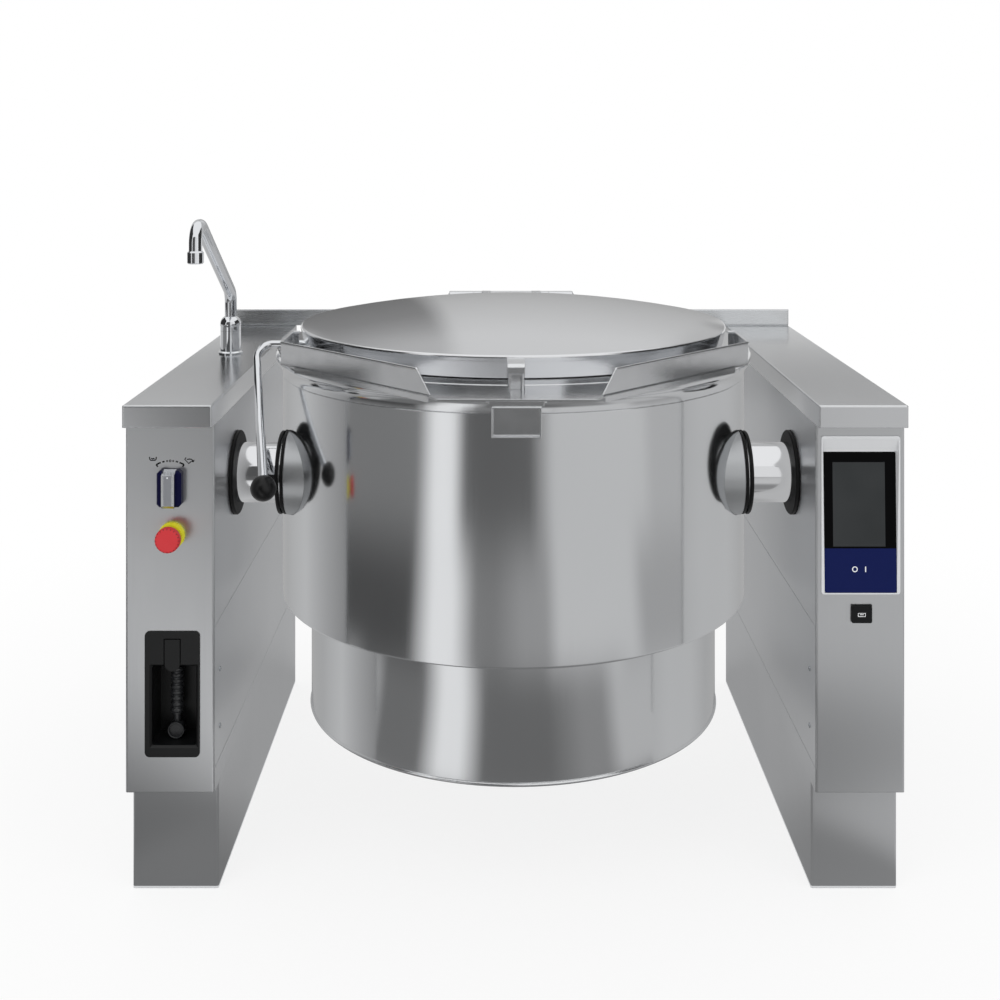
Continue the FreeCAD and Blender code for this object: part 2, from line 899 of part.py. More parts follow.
def stop_head():
    """Red mushroom head, bored for the plunger that it turns on."""
    back = stop_collar_depth + stop_head_gap
    front = back + stop_head_depth
    r = stop_head_radius
    face = r - 5
    dome = (face ** 2 + stop_head_crown ** 2) / (2 * stop_head_crown)
    bore = stop_stem_radius + running_gap
    return spun(
        [
            (bore, back), (r - 7, back), ((r - 3, back + 5), (r, back + 9)),
            (r, front - 5), ((r - 1.4, front - 1.6 - stop_head_crown), (face, front - stop_head_crown)),
            (dome_point(dome, front, face / 2), (0, front)), (0, back + stop_stem_grip + free_gap),
            (bore, back + stop_stem_grip + free_gap),
        ],
        V(stop_x, body_front_y, stop_z), V(0, -1, 0),
    )


def tap_body():
    """Fixed pillar of the tap on the left cap, bored for the spout's pivot."""
    top = tap_body_height
    bore = tap_pivot_radius + running_gap
    floor = top - tap_pivot_depth - free_gap
    return spun(
        [
            (0, 0), (tap_body_radius + 4, 0), (tap_body_radius + 4, 3), (tap_body_radius, 6),
            (tap_body_radius, top), (bore, top), (bore, floor), (0, floor),
        ],
        V(tap_x, tap_y, cap_top_z), V(0, 0, 1),
    )


def tap_spout():
    """Swivelling spout: dome, neck, rising run and a bend down to the outlet."""
    base = cap_top_z + tap_body_height + free_gap
    dome_top = base + tap_dome_height
    r = tap_body_radius
    collar = spun(
        [
            (0, -tap_pivot_depth), (tap_pivot_radius, -tap_pivot_depth), (tap_pivot_radius, 0),
            (r, 0), (r, tap_dome_height * 0.3),
            ((r - 2.5, tap_dome_height * 0.8), (tap_neck_radius, tap_dome_height)),
            (0, tap_dome_height),
        ],
        V(tap_x, tap_y, base), V(0, 0, 1),
    )
    outlet_y = tap_y - tap_reach
    points = [
        V(tap_x, tap_y, dome_top - 1), V(tap_x, tap_y, tap_bend_z),
        V(tap_x, outlet_y, tap_peak_z), V(tap_x, outlet_y, tap_outlet_z + aerator_height),
    ]
    return collar.fuse(bent_rod(points, tap_neck_radius, tap_bend_radius)).removeSplitter()


def tap_aerator():
    """Outlet nozzle on the end of the spout."""
    h = aerator_height
    r = aerator_radius
    return spun(
        [
            (0, h), (r - 3, h), (r, h - 3), (r, 2), (r - 2, 0), (r - 4, 0), (r - 4, 4), (0, 4),
        ],
        V(tap_x, tap_y - tap_reach, tap_outlet_z), V(0, 0, 1),
    )


def inlet_places():
    middle = tap_x - inlet_offset
    return [middle - inlet_spacing / 2, middle + inlet_spacing / 2]


def water_valve():
    """Mixing valve under the tap, with its tail through the cap and its two supply pipes."""
    cap_inside_z = cap_top_z - sheet
    body_top = cap_top_z - valve_top_drop
    body_bottom = body_top - valve_body_height
    tail = rod(V(tap_x, tap_y, body_top - 2), V(tap_x, tap_y, cap_top_z), valve_tail_radius)
    nut = rod(
        V(tap_x, tap_y, cap_inside_z - valve_nut_height), V(tap_x, tap_y, cap_inside_z),
        valve_nut_radius,
    )
    x0, x1 = inlet_places()
    body = rounded_block(
        x0 - valve_body_overhang, x1 + valve_body_overhang,
        tap_y - valve_body_half, tap_y + valve_body_half, body_bottom, body_top, "z", 6,
    )
    shapes = [nut, body]
    for x in (x0, x1):
        shapes.append(
            rod(V(x, tap_y, column_floor_z + inlet_rise), V(x, tap_y, body_bottom + 5), pipe_radius)
        )
    return tail.fuse(shapes).removeSplitter()


def water_inlets():
    """Two threaded supply stubs through the column's floor."""
    stubs = []
    for x in inlet_places():
        stub = rod(V(x, tap_y, inlet_bottom_z), V(x, tap_y, column_floor_z + inlet_rise), inlet_radius)
        nuts = [
            rod(V(x, tap_y, z), V(x, tap_y, z + inlet_nut_height), inlet_nut_radius)
            for z in (plinth_height - inlet_nut_height, column_floor_z)
        ]
        bore = rod(V(x, tap_y, inlet_bottom_z - 1), V(x, tap_y, column_floor_z + 4), pipe_radius)
        stubs.append(stub.fuse(nuts).removeSplitter().cut(bore))
    return Part.makeCompound(stubs)


# Fittings of the right column

def display_bezel():
    """Pressed frame around the display: its walls slope in to the glass, which leans back."""
    face_y = body_front_y - bezel_flange
    deep_y = face_y + glass_lean
    flange = rounded_block(
        bezel_x[0], bezel_x[1], face_y, body_front_y, bezel_z[0], bezel_z[1], "y", 5
    )
    body = box(
        bezel_x[0] + bezel_inset, bezel_x[1] - bezel_inset, body_front_y, body_front_y + bezel_depth,
        bezel_z[0] + bezel_inset, bezel_z[1] - bezel_inset,
    )
    behind = Part.makePolygon(
        [
            V(glass_x[0], face_y, glass_z[0]), V(glass_x[1], face_y, glass_z[0]),
            V(glass_x[1], deep_y, glass_z[1]), V(glass_x[0], deep_y, glass_z[1]),
            V(glass_x[0], face_y, glass_z[0]),
        ]
    )
    mouth = Part.makePolygon(
        [
            V(glass_x[0], face_y - 1, glass_z[0]), V(glass_x[1], face_y - 1, glass_z[0]),
            V(bezel_x[1] - bezel_rim, face_y - 1, bezel_z[1] - bezel_rim),
            V(bezel_x[0] + bezel_rim, face_y - 1, bezel_z[1] - bezel_rim),
            V(glass_x[0], face_y - 1, glass_z[0]),
        ]
    )
    slope = Part.makeLoft([behind, mouth], True, True)
    return flange.fuse(body).removeSplitter().cut(slope).cut(glass_slab())


def glass_slab():
    """The display's glass before its corners are rounded."""
    face_y = body_front_y - bezel_flange
    deep_y = face_y + glass_lean
    return slab_x(
        [
            (face_y, glass_z[0]), (face_y + glass_thickness, glass_z[0]),
            (deep_y + glass_thickness, glass_z[1]), (deep_y, glass_z[1]),
        ],
        glass_x[0], glass_x[1],
    )


def display_glass():
    """Touch glass of the display, leaning back towards its top, with rounded corners."""
    slab = glass_slab()
    corners = [e for e in slab.Edges if e.Length < 2 * glass_thickness]
    return slab.makeFillet(glass_corner_radius, corners)


def port_hinge():
    """Hinge line of the port cover, as (y, z)."""
    y = body_front_y - port_cover_thickness / 2 - free_gap
    z = port_z + port_height / 2 - port_cover_thickness / 2
    return y, z


def port_ear_places():
    """Middle of each hinge ear along X."""
    reach = port_width / 2 - port_ear_inset
    return [port_x - reach, port_x + reach]


def port_socket():
    """Data socket behind the cover, with the two ears that hold the cover's hinge."""
    y, z = port_hinge()
    x0 = port_x - port_case_width / 2
    x1 = port_x + port_case_width / 2
    case = box(
        x0, x1, body_front_y, body_front_y + port_case_depth,
        port_z - port_case_drop, port_z + port_case_rise,
    )
    slot = box(
        port_x - port_slot_width / 2, port_x + port_slot_width / 2,
        body_front_y - 1, body_front_y + port_slot_depth,
        port_z - port_slot_height, port_z,
    )
    ears = []
    for x in port_ear_places():
        ears.append(
            box(x - port_ear_width / 2, x + port_ear_width / 2,
                y - port_cover_thickness / 2, body_front_y,
                z - port_ear_height / 2, z + port_ear_height / 2)
        )
    rail_back_y = body_front_y + port_rail_depth
    rail = box(
        port_x - port_width / 2 + free_gap, port_x + port_width / 2 - free_gap,
        body_front_y, rail_back_y, z - port_ear_height, z + port_ear_height / 2,
    )
    bridge = box(x0, x1, body_front_y, rail_back_y, port_z, z)
    return case.fuse(ears + [rail, bridge]).removeSplitter().cut(slot)


def port_cover():
    """Small flap over the data socket, hung between the socket's ears."""
    y, z = port_hinge()
    front = y - port_cover_thickness / 2
    back = y + port_cover_thickness / 2
    x0 = port_x - port_width / 2
    x1 = port_x + port_width / 2
    leaf = box(x0, x1, front, back, port_z - port_height / 2, z)
    leaf = round_edges(leaf, port_corner_radius, lambda b: b.YLength > tiny and b.ZMax < port_z)
    flap = leaf.fuse(rod(V(x0, y, z), V(x1, y, z), port_cover_thickness / 2)).removeSplitter()
    ear_corner = math.hypot(port_cover_thickness / 2 + free_gap, port_ear_height / 2)
    notches = []
    for x in port_ear_places():
        side = math.copysign(1, x - port_x)
        ends = sorted((x - side * (port_ear_width / 2 + free_gap), x + side * 2 * port_ear_inset))
        notches.append(
            box(ends[0], ends[1], front - 1, back + 1, z - ear_corner - free_gap, port_z + port_height)
        )
    return flap.cut(notches)


def control_box():
    """Enclosure of the power electronics on the right column's outer wall."""
    x1 = half_width - sheet
    case = box(
        x1 - control_box_width, x1, control_box_y[0], control_box_y[1], control_box_z[0], control_box_z[1]
    )
    return round_edges(case, 4, lambda b: b.ZLength > tiny and b.XMax < x1 - 1)


def cable_gland():
    """Gland in the right column's floor for the supply cable."""
    return spun(
        [
            (gland_bore_radius, 0), (gland_bore_radius + 5, 0), (gland_bore_radius + 8, 6),
            (gland_bore_radius + 8, 28), (gland_bore_radius + 7, 28), (gland_bore_radius + 7, 46),
            (gland_bore_radius, 46),
        ],
        V(gland_x, gland_y, plinth_height - 28), V(0, 0, 1),
    ).fuse(
        spun(
            [
                (gland_bore_radius + 7, 0), (gland_bore_radius + 11, 0),
                (gland_bore_radius + 11, 7), (gland_bore_radius + 7, 7),
            ],
            V(gland_x, gland_y, column_floor_z), V(0, 0, 1),
        )
    ).removeSplitter()


# Vessel

def inner_pan():
    """Deep-drawn cooking vessel with a large corner radius."""
    r = pan_radius
    t = pan_sheet
    cr = r - pan_corner_radius
    cz = pan_bottom_z + pan_corner_radius
    return spun_z(
        [
            (0, pan_bottom_z), (cr, pan_bottom_z),
            (arc_point(cr, cz, pan_corner_radius, -45), (r, cz)),
            (r, rim_bottom_z), (r + t, rim_bottom_z), (r + t, cz),
            (arc_point(cr, cz, pan_corner_radius + t, -45), (cr, pan_bottom_z - t)),
            (0, pan_bottom_z - t),
        ]
    )


def heating_jacket():
    """Welded shell around the lower part of the pan."""
    r = jacket_radius
    t = jacket_sheet
    neck = jacket_neck_radius
    cr = neck - jacket_corner_radius
    cz = jacket_bottom_z + jacket_corner_radius
    wall = pan_radius + pan_sheet
    shell = spun_z(
        [
            (wall, jacket_top_z), (r, jacket_top_z), (r, jacket_step_z), (neck, jacket_step_z),
            (neck, cz), (arc_point(cr, cz, jacket_corner_radius, -45), (cr, jacket_bottom_z)),
            (0, jacket_bottom_z), (0, jacket_bottom_z + t), (cr, jacket_bottom_z + t),
            (arc_point(cr, cz, jacket_corner_radius - t, -45), (neck - t, cz)),
            (neck - t, jacket_step_z + t), (r - t, jacket_step_z + t),
            (r - t, jacket_top_z - t), (wall, jacket_top_z - t),
        ]
    )
    holes = [
        rod(V(x, 0, jacket_bottom_z - 1), V(x, 0, jacket_bottom_z + t + 1), element_rod_radius + running_gap)
        for x in element_radii
    ]
    return shell.cut(holes)


def heating_elements():
    """Ring heaters in the jacket's floor, each with a terminal leg through the floor."""
    z = (pan_bottom_z - pan_sheet + jacket_bottom_z + jacket_sheet) / 2
    rings = []
    for r in element_radii:
        ring = Part.makeTorus(r, element_rod_radius, V(0, 0, z))
        leg = rod(V(r, 0, z), V(r, 0, jacket_bottom_z - 14), element_rod_radius)
        rings.append(ring.fuse(leg).removeSplitter())
    return Part.makeCompound(rings)


def drum_cladding():
    """Polished outer drum with a folded bottom edge and a round hole for each tilt boss."""
    r = drum_radius
    t = drum_sheet
    f = drum_fold_radius
    z = drum_bottom_z
    inner = jacket_neck_radius + 2
    drum = spun_z(
        [
            (inner, z), (r - f, z), (arc_point(r - f, z + f, f, -45), (r, z + f)),
            (r, drum_seam_z), (r - t, drum_seam_z), (r - t, z + f),
            (arc_point(r - f, z + f, f - t, -45), (r - f, z + t)), (inner, z + t),
        ]
    )
    hole = rod(V(-r, axis_y, axis_z), V(r, axis_y, axis_z), boss_radius + panel_gap)
    return drum.cut(hole)


def lower_skirt():
    """Narrower casing under the drum, closed below and beaded at its foot."""
    r = skirt_radius
    t = drum_sheet
    z = skirt_bottom_z
    return spun_z(
        [
            (0, z), (r - 1, z), ((r + 2.5, z + 3), (r, z + 7)), (r, drum_bottom_z),
            (r - t, drum_bottom_z), (r - t, z + t + 2), ((r - t - 0.6, z + t + 0.6), (r - t - 2, z + t)),
            (0, z + t),
        ]
    )


def rim_collar():
    """Collar that flares out from the drum in a soft curve and is rolled in under the rim."""
    r = drum_radius
    t = drum_sheet
    b = bead_radius
    z0 = drum_seam_z
    z1 = rim_bottom_z
    waist = z0 + (z1 - z0) * 0.45
    crest = z0 + (z1 - z0) * 0.76
    middle = (r + b) / 2
    return spun_z(
        [
            (r, z0), ((r + 1.5, z0 + 12), (middle, waist)), ((b - 1.5, waist + 7), (b, crest)),
            ((b - 2, z1 - 4), (b - 6, z1)),
            (jacket_radius, z1), (jacket_radius, z1 - t), (b - 7.5, z1 - t),
            ((b - t - 2, z1 - 6), (b - t, crest)), ((b - t - 1.5, waist + 8), (middle - t, waist + 1)),
            ((r - t + 1.5, z0 + 13), (r - t, z0)),
        ]
    )


def pouring_rim():
    """Top rim with the mouth's ring, the pouring lip and the seat of the lid's hinge."""
    ring = spun_z(
        [
            (pan_radius, rim_bottom_z), (rim_ring_radius, rim_bottom_z),
            ((rim_ring_radius + 2, (rim_bottom_z + rim_ring_top_z) / 2), (rim_ring_radius, rim_ring_top_z)),
            (pan_radius + 1, rim_ring_top_z), (pan_radius, rim_ring_top_z - 1),
        ]
    )
    right = [(lip_half_width, lip_front_y), lip_corner, ledge_end(), *guard_foot()]
    left = [(-x, y) for x, y in reversed(right)]
    nose = plate_z(right + left, rim_bottom_z, lip_top_z)
    mouth = Part.makeCylinder(rim_ring_radius - 2, 20, V(0, 0, rim_bottom_z - 10))
    tab = box(
        -hinge_tab_half_width, hinge_tab_half_width, lid_radius + 6, hinge_tab_rear_y,
        rim_bottom_z, rim_ring_top_z,
    )
    fold = lip_fold()
    pieces = [nose.cut(mouth), tab, fold, left_of(fold)]
    return ring.fuse(pieces).removeSplitter()


def guard_slope():
    """Direction along the slanted run of the right-hand splash guard."""
    (x0, y0), (x1, y1) = guard_path[:2]
    return V(x1 - x0, y1 - y0, 0).normalize()


def ledge_end():
    """Where the lip's ledge beside the guard stops."""
    along = guard_slope()
    run = (ledge_end_x - lip_corner[0]) / along.x
    return (ledge_end_x, lip_corner[1] + along.y * run)


def guard_foot():
    """Edge of the rim that lies flush under the guard's outer face, from the ledge to the rear."""
    along = guard_slope()
    out = V(along.y, -along.x, 0) * (guard_sheet / 2)
    corner_x, corner_y = guard_path[1]
    side_x = corner_x + guard_sheet / 2
    x = ledge_end_x + lip_ledge
    start_y = guard_path[0][1] + out.y + (x - guard_path[0][0] - out.x) * along.y / along.x
    turn_y = guard_path[0][1] + out.y + (side_x - guard_path[0][0] - out.x) * along.y / along.x
    return [(x, start_y), (side_x, turn_y), (side_x, guard_rear_y)]


def lip_fold():
    """Narrow strip folded down along the slanted edge of the lip."""
    start = V(lip_corner[0], lip_corner[1], 0)
    end = V(*ledge_end(), 0)
    inward = V(0, 0, 1).cross(end - start).normalize() * rim_sheet
    corners = [start, end, end + inward, start + inward]
    return plate_z(
        [(p.x, p.y) for p in corners], rim_bottom_z - lip_fold_height, rim_bottom_z
    )


def splash_guard():
    """Upright plate beside the lip, with a rolled top edge and a slanted front end."""
    points = [V(x, y, 0) for x, y in guard_path]
    hem_z = guard_top_z - guard_hem_radius
    pieces = []
    for start, end in zip(points, points[1:]):
        side = V(0, 0, 1).cross(end - start).normalize() * (guard_sheet / 2)
        corners = [start + side, end + side, end - side, start - side]
        pieces.append(plate_z([(p.x, p.y) for p in corners], lip_top_z, hem_z))
        pieces.append(rod(start + V(0, 0, hem_z), end + V(0, 0, hem_z), guard_hem_radius))
    for point in points[1:-1]:
        pieces.append(
            Part.makeCylinder(guard_sheet / 2, hem_z - lip_top_z, point + V(0, 0, lip_top_z))
        )
    for point in points[1:]:
        pieces.append(Part.makeSphere(guard_hem_radius, point + V(0, 0, hem_z)))
    guard = pieces[0].fuse(pieces[1:]).removeSplitter()
    along = (points[1] - points[0]).normalize()
    across = V(0, 0, 1).cross(along)
    height = guard_top_z - lip_top_z
    slope = guard_slant / height
    spots = [(-40, 0), (0, 0), ((height + 10) * slope, height + 10), (-40, height + 10)]
    outline = Part.makePolygon(
        [points[0] - across * 10 + along * s + V(0, 0, lip_top_z + h) for s, h in spots + spots[:1]]
    )
    wedge = Part.Face(outline).extrude(across * 20)
    raised = Part.makeCylinder(rim_ring_radius + 2, rim_ring_rise, V(0, 0, lip_top_z))
    return guard.cut(wedge).cut(raised)


def lip_bracket():
    """Shallow folded tray that hangs on a cross pin under the lip."""
    front = lip_front_y
    tray = box(
        -bracket_half_width, bracket_half_width, front, front + bracket_depth,
        bracket_bottom_z, bracket_top_z,
    )
    tray = round_edges(tray, 2, lambda b: b.YLength > tiny)
    tray = round_edges(tray, 1.2, lambda b: near(b.YMin, front) and near(b.YMax, front))
    face = box(
        -bracket_half_width + bracket_edge, bracket_half_width - bracket_edge,
        front - 1, front + bracket_depth - 4,
        bracket_bottom_z + bracket_edge, bracket_top_z - bracket_edge,
    )
    strip = box(
        -bracket_strip_half_width, bracket_strip_half_width,
        front + 2, front + bracket_depth, bracket_top_z, rim_bottom_z,
    )
    pin_y = front + 2 + bracket_pin_radius
    pin_z = rim_bottom_z - bracket_pin_radius
    pin = rod(
        V(-bracket_pin_half_length, pin_y, pin_z), V(bracket_pin_half_length, pin_y, pin_z),
        bracket_pin_radius,
    )
    return tray.cut(face).fuse([strip, pin]).removeSplitter()


def catch_post():
    """Channel-shaped post on the lip, under the lid's catch."""
    outer = box(
        -catch_half_width + 1, catch_half_width - 1, catch_front_y, catch_front_y + catch_depth,
        lip_top_z, catch_post_top_z,
    )
    outer = round_edges(outer, 3, lambda b: b.ZLength > tiny)
    channel = box(
        -catch_half_width + 6, catch_half_width - 6, catch_front_y - 1, catch_front_y + catch_depth - 4,
        lip_top_z - 1, catch_post_top_z + 1,
    )
    foot = box(
        -catch_half_width, catch_half_width, catch_front_y + catch_depth - 4,
        catch_front_y + catch_depth + 8, lip_top_z, lip_top_z + 3,
    )
    return outer.cut(channel).fuse(foot).removeSplitter()


def trunnion():
    """Tilt boss, polished tube and shaft of one side, seated on the jacket."""
    disc_2 = boss_face_x + disc_thickness
    spacer_end = disc_2 + disc_spacer
    body = spun_x(
        [
            (0, boss_root_x), (boss_radius, boss_root_x), (boss_radius, boss_face_x - 2),
            (boss_radius - 2, boss_face_x), (tube_radius, boss_face_x), (tube_radius, disc_2),
            (disc_radius - 8, disc_2), (disc_radius - 8, spacer_end), (tube_radius, spacer_end),
            (tube_radius, tube_end_x - 2), (tube_radius - 2, tube_end_x), (shaft_radius, tube_end_x),
            (shaft_radius, shaft_end_x), (0, shaft_end_x),
        ]
    )
    jacket = Part.makeCylinder(
        jacket_radius, 3 * boss_radius, V(0, 0, axis_z - 1.5 * boss_radius)
    )
    return body.cut(jacket)


def trunnion_left():
    return left_of(trunnion())


def trunnion_right():
    """Right trunnion, bored through for the vessel's cables."""
    bore = rod(
        V(boss_root_x, axis_y, axis_z), V(shaft_end_x + 1, axis_y, axis_z), cable_bore_radius
    )
    return trunnion().cut(bore)


def vessel_discs():
    """Two black discs on the tilt tube at each side of the vessel."""
    discs = []
    for start in (boss_face_x, boss_face_x + disc_thickness + disc_spacer):
        disc = spun_x(
            [
                (tube_radius, start), (disc_radius - 1.5, start), (disc_radius, start + 1.5),
                (disc_radius, start + disc_thickness - 1.5),
                (disc_radius - 1.5, start + disc_thickness), (tube_radius, start + disc_thickness),
            ]
        )
        discs += [disc, left_of(disc)]
    return Part.makeCompound(discs)


# Lid and its hinge

def hinge_housing():
    """Two spring barrels on pedestals behind the mouth, holding the hinge pin."""
    inner = hinge_arm_barrel_half + hinge_side_gap
    barrel = rod(
        V(inner, hinge_y, hinge_z), V(hinge_half_length, hinge_y, hinge_z), hinge_barrel_radius
    )
    barrel = barrel.makeChamfer(
        2, [e for e in barrel.Edges if near(e.BoundBox.XMin, hinge_half_length)]
    )
    foot = rim_ring_top_z
    half = hinge_barrel_radius
    pedestal = slab_x(
        [
            (hinge_y - half, foot), (hinge_y + half + 4, foot), (hinge_y + half + 4, foot + 3),
            (hinge_y + half, foot + 6), (hinge_y + half, hinge_z), (hinge_y - half, hinge_z),
        ],
        inner + 4, hinge_half_length - 6,
    )
    side = barrel.fuse(pedestal).removeSplitter()
    bore = rod(
        V(-hinge_half_length - 1, hinge_y, hinge_z), V(hinge_half_length + 1, hinge_y, hinge_z),
        hinge_pin_radius + running_gap,
    )
    side = side.cut(bore)
    return Part.makeCompound([side, left_of(side)])


def hinge_pin():
    """Pin through both barrels, headed at each end."""
    half = hinge_half_length
    pin = rod(V(-half, hinge_y, hinge_z), V(half, hinge_y, hinge_z), hinge_pin_radius)
    heads = [
        rod(V(side * half, hinge_y, hinge_z), V(side * (half + 2), hinge_y, hinge_z), hinge_pin_radius + 3)
        for side in (-1, 1)
    ]
    return pin.fuse(heads).removeSplitter()


def lid_profile():
    """Outer and inner ends of the lid's shoulder and the radius of its dome."""
    cr = lid_radius - lid_shoulder_radius
    rise = lid_apex_z - lid_shoulder_z - lid_shoulder_radius
    dome = (cr * cr + rise * rise) / (2 * rise)
    lean = math.degrees(math.asin(cr / (dome - lid_shoulder_radius)))
    return cr, dome, 90 - lean


def dome_point(dome, apex, radius):
    return (radius, apex - dome + math.sqrt(dome * dome - radius * radius))


def lid_outline(inset):
    """Half outline of the lid from its apex to its lower edge, inset from the outer surface."""
    cr, dome, end_angle = lid_profile()
    round_r = lid_shoulder_radius - inset
    apex = lid_apex_z - inset
    radius = dome - inset
    shoulder = arc_point(cr, lid_shoulder_z, round_r, end_angle)
    lift = dome_point(radius, apex, shoulder[0])
    return {
        "apex": (0, apex),
        "dome_mid": dome_point(radius, apex, cr / 2),
        "shoulder": (shoulder[0], lift[1]),
        "bend": arc_point(cr, lid_shoulder_z, round_r, end_angle / 2),
        "side": (lid_radius - inset, lid_shoulder_z),
        "foot": (lid_foot_radius - inset, lid_skirt_z),
    }


def lid_shell():
    """Domed lid with a rounded shoulder and a skirt that draws in to its foot."""
    out = lid_outline(0)
    inn = lid_outline(lid_sheet)
    return spun_z(
        [
            out["apex"], (out["dome_mid"], out["shoulder"]), (out["bend"], out["side"]),
            out["foot"], inn["foot"], inn["side"], (inn["bend"], inn["shoulder"]),
            (inn["dome_mid"], inn["apex"]),
        ]
    )


def lid_body():
    """The lid as a filled solid, used to seat what is fixed to it."""
    out = lid_outline(0)
    return spun_z(
        [
            out["apex"], (out["dome_mid"], out["shoulder"]), (out["bend"], out["side"]),
            out["foot"], (0, lid_skirt_z),
        ]
    )


def lid_seal():
    """Gasket under the lid's edge, with a lip inside the skirt."""
    r = lid_foot_radius - lid_sheet
    lip = r + lid_sheet * 0.7
    return spun_z(
        [
            (r - seal_depth, rim_ring_top_z + free_gap), (lip, rim_ring_top_z + free_gap),
            (lip, lid_skirt_z), (r, lid_skirt_z), (r, lid_skirt_z + seal_depth),
            (r - seal_depth, lid_skirt_z + seal_depth),
        ]
    )


def lid_hinge_arms():
    """Hinge barrel of the lid, with two arms saddled on its shoulder."""
    half = hinge_arm_barrel_half
    barrel = rod(V(-half, hinge_y, hinge_z), V(half, hinge_y, hinge_z), hinge_barrel_radius)
    arms = []
    for side in (-1, 1):
        x = side * hinge_arm_x
        arms.append(
            slab_x(
                [
                    (hinge_y, hinge_z - 12), (hinge_y, hinge_z + hinge_barrel_radius),
                    (hinge_y - hinge_arm_reach * 0.4, hinge_z + hinge_barrel_radius + 4),
                    (hinge_y - hinge_arm_reach, hinge_z + hinge_barrel_radius + 6),
                    (hinge_y - hinge_arm_reach, hinge_z), (hinge_y - hinge_arm_reach * 0.5, hinge_z - 12),
                ],
                x - hinge_arm_width / 2, x + hinge_arm_width / 2,
            )
        )
    bore = rod(
        V(-half - 1, hinge_y, hinge_z), V(half + 1, hinge_y, hinge_z), hinge_pin_radius + running_gap
    )
    return barrel.fuse(arms).removeSplitter().cut(bore).cut(lid_body())


def lid_lever():
    """Bent operating rod from the lid's left edge down to the ball."""
    start = V(-lid_radius + 20, lever_y, lever_z)
    bend = V(lever_bend_x, lever_y, lever_z)
    ball = V(*lever_ball)
    down = (ball - bend).normalize()
    straight = bend + down * (lever_bend_radius * 1.6)
    upper = bent_rod([start, bend, straight], lever_radius, lever_bend_radius)
    tip = ball - down * (lever_ball_radius - 6)
    lower = Part.makeCone(
        lever_radius, lever_end_radius, (tip - straight).Length, straight, down
    )
    side = math.sqrt(lid_radius ** 2 - lever_y ** 2)
    boss = rod(V(-side + 10, lever_y, lever_z), V(-side - 14, lever_y, lever_z), lever_boss_radius)
    ball_cut = Part.makeSphere(lever_ball_radius, ball)
    return upper.fuse([lower, boss]).removeSplitter().cut(lid_body()).cut(ball_cut)


def lever_knob():
    """Black ball on the lever's end."""
    return Part.makeSphere(lever_ball_radius, V(*lever_ball))


def lid_catch():
    """Folded strap from the front of the lid that turns down over the catch post."""
    t = 3.0
    root = -lid_radius + 10
    low = lid_shoulder_z - 2
    front = catch_front_y - 4
    bottom = catch_post_top_z + free_gap
    strap = slab_x(
        [
            (root, low), (root, low + t), (front + 6, catch_top_z), (front, catch_top_z - 5),
            (front, bottom), (front + t + 1, bottom), (front + t + 1, catch_top_z - 5 - t),
            (front + 9, catch_top_z - t - 0.6),
        ],
        -catch_half_width, catch_half_width,
    )
    cheeks = []
    for side in (-1, 1):
        x0 = side * catch_half_width - (t if side > 0 else 0)
        cheeks.append(
            slab_x(
                [
                    (front + 1, bottom), (front + 1, catch_top_z - 6), (front + 6, catch_top_z - 1),
                    (front + 26, catch_top_z - 3), (front + 26, bottom + 4), (front + 22, bottom),
                ],
                x0, x0 + t,
            )
        )
    return strap.fuse(cheeks).removeSplitter().cut(lid_body())


# Holes in the casings that depend on the side

def casing_left():
    """Left casing, open for the recess, the knob, the emergency stop and the water inlets."""
    cuts = [
        box(
            recess_x[0] + recess_wall - panel_gap, recess_x[1] - recess_wall + panel_gap,
            body_front_y - 1, panel_back_y + 1,
            recess_z[0] + recess_wall - panel_gap, recess_z[1] - recess_wall + panel_gap,
        )
    ]
    for x, z in ((knob_x, knob_z), (stop_x, stop_z)):
        cuts.append(rod(V(x, body_front_y - 1, z), V(x, panel_back_y + 1, z), panel_hole_radius))
    for x in inlet_places():
        cuts.append(
            rod(V(x, tap_y, plinth_height - 1), V(x, tap_y, column_floor_z + 1), inlet_radius + free_gap)
        )
    return left_of(column_casing()).cut(cuts)


def casing_right():
    """Right casing, open for the display, the data port and the cable gland."""
    display = box(
        bezel_x[0] + bezel_inset - panel_gap, bezel_x[1] - bezel_inset + panel_gap,
        body_front_y - 1, panel_back_y + 1,
        bezel_z[0] + bezel_inset - panel_gap, bezel_z[1] - bezel_inset + panel_gap,
    )
    y, z = port_hinge()
    port = box(
        port_x - port_width / 2, port_x + port_width / 2, body_front_y - 1, panel_back_y + 1,
        port_z - port_case_drop - panel_gap, z + port_ear_height / 2 + panel_gap,
    )
    gland = rod(
        V(gland_x, gland_y, plinth_height - 1), V(gland_x, gland_y, column_floor_z + 1),
        gland_bore_radius + 7 + free_gap,
    )
    return column_casing().cut([display, port, gland])


def cap_left():
    """Left cap, with the hole for the tap's tail."""
    hole = rod(V(tap_x, tap_y, cap_bottom_z), V(tap_x, tap_y, cap_top_z + 1), valve_tail_radius + free_gap)
    return left_of(column_cap()).cut(hole)


def save(name, shape):
    solids = shape.Solids
    volume = sum(s.Volume for s in solids)
    print(f"{name}: {len(solids)} solids, {volume / 1000:.1f} cm3, valid {shape.isValid()}")
    whole = solids[0] if len(solids) == 1 else Part.makeCompound(solids)
    whole.exportStep(f"parts/{name}.step")


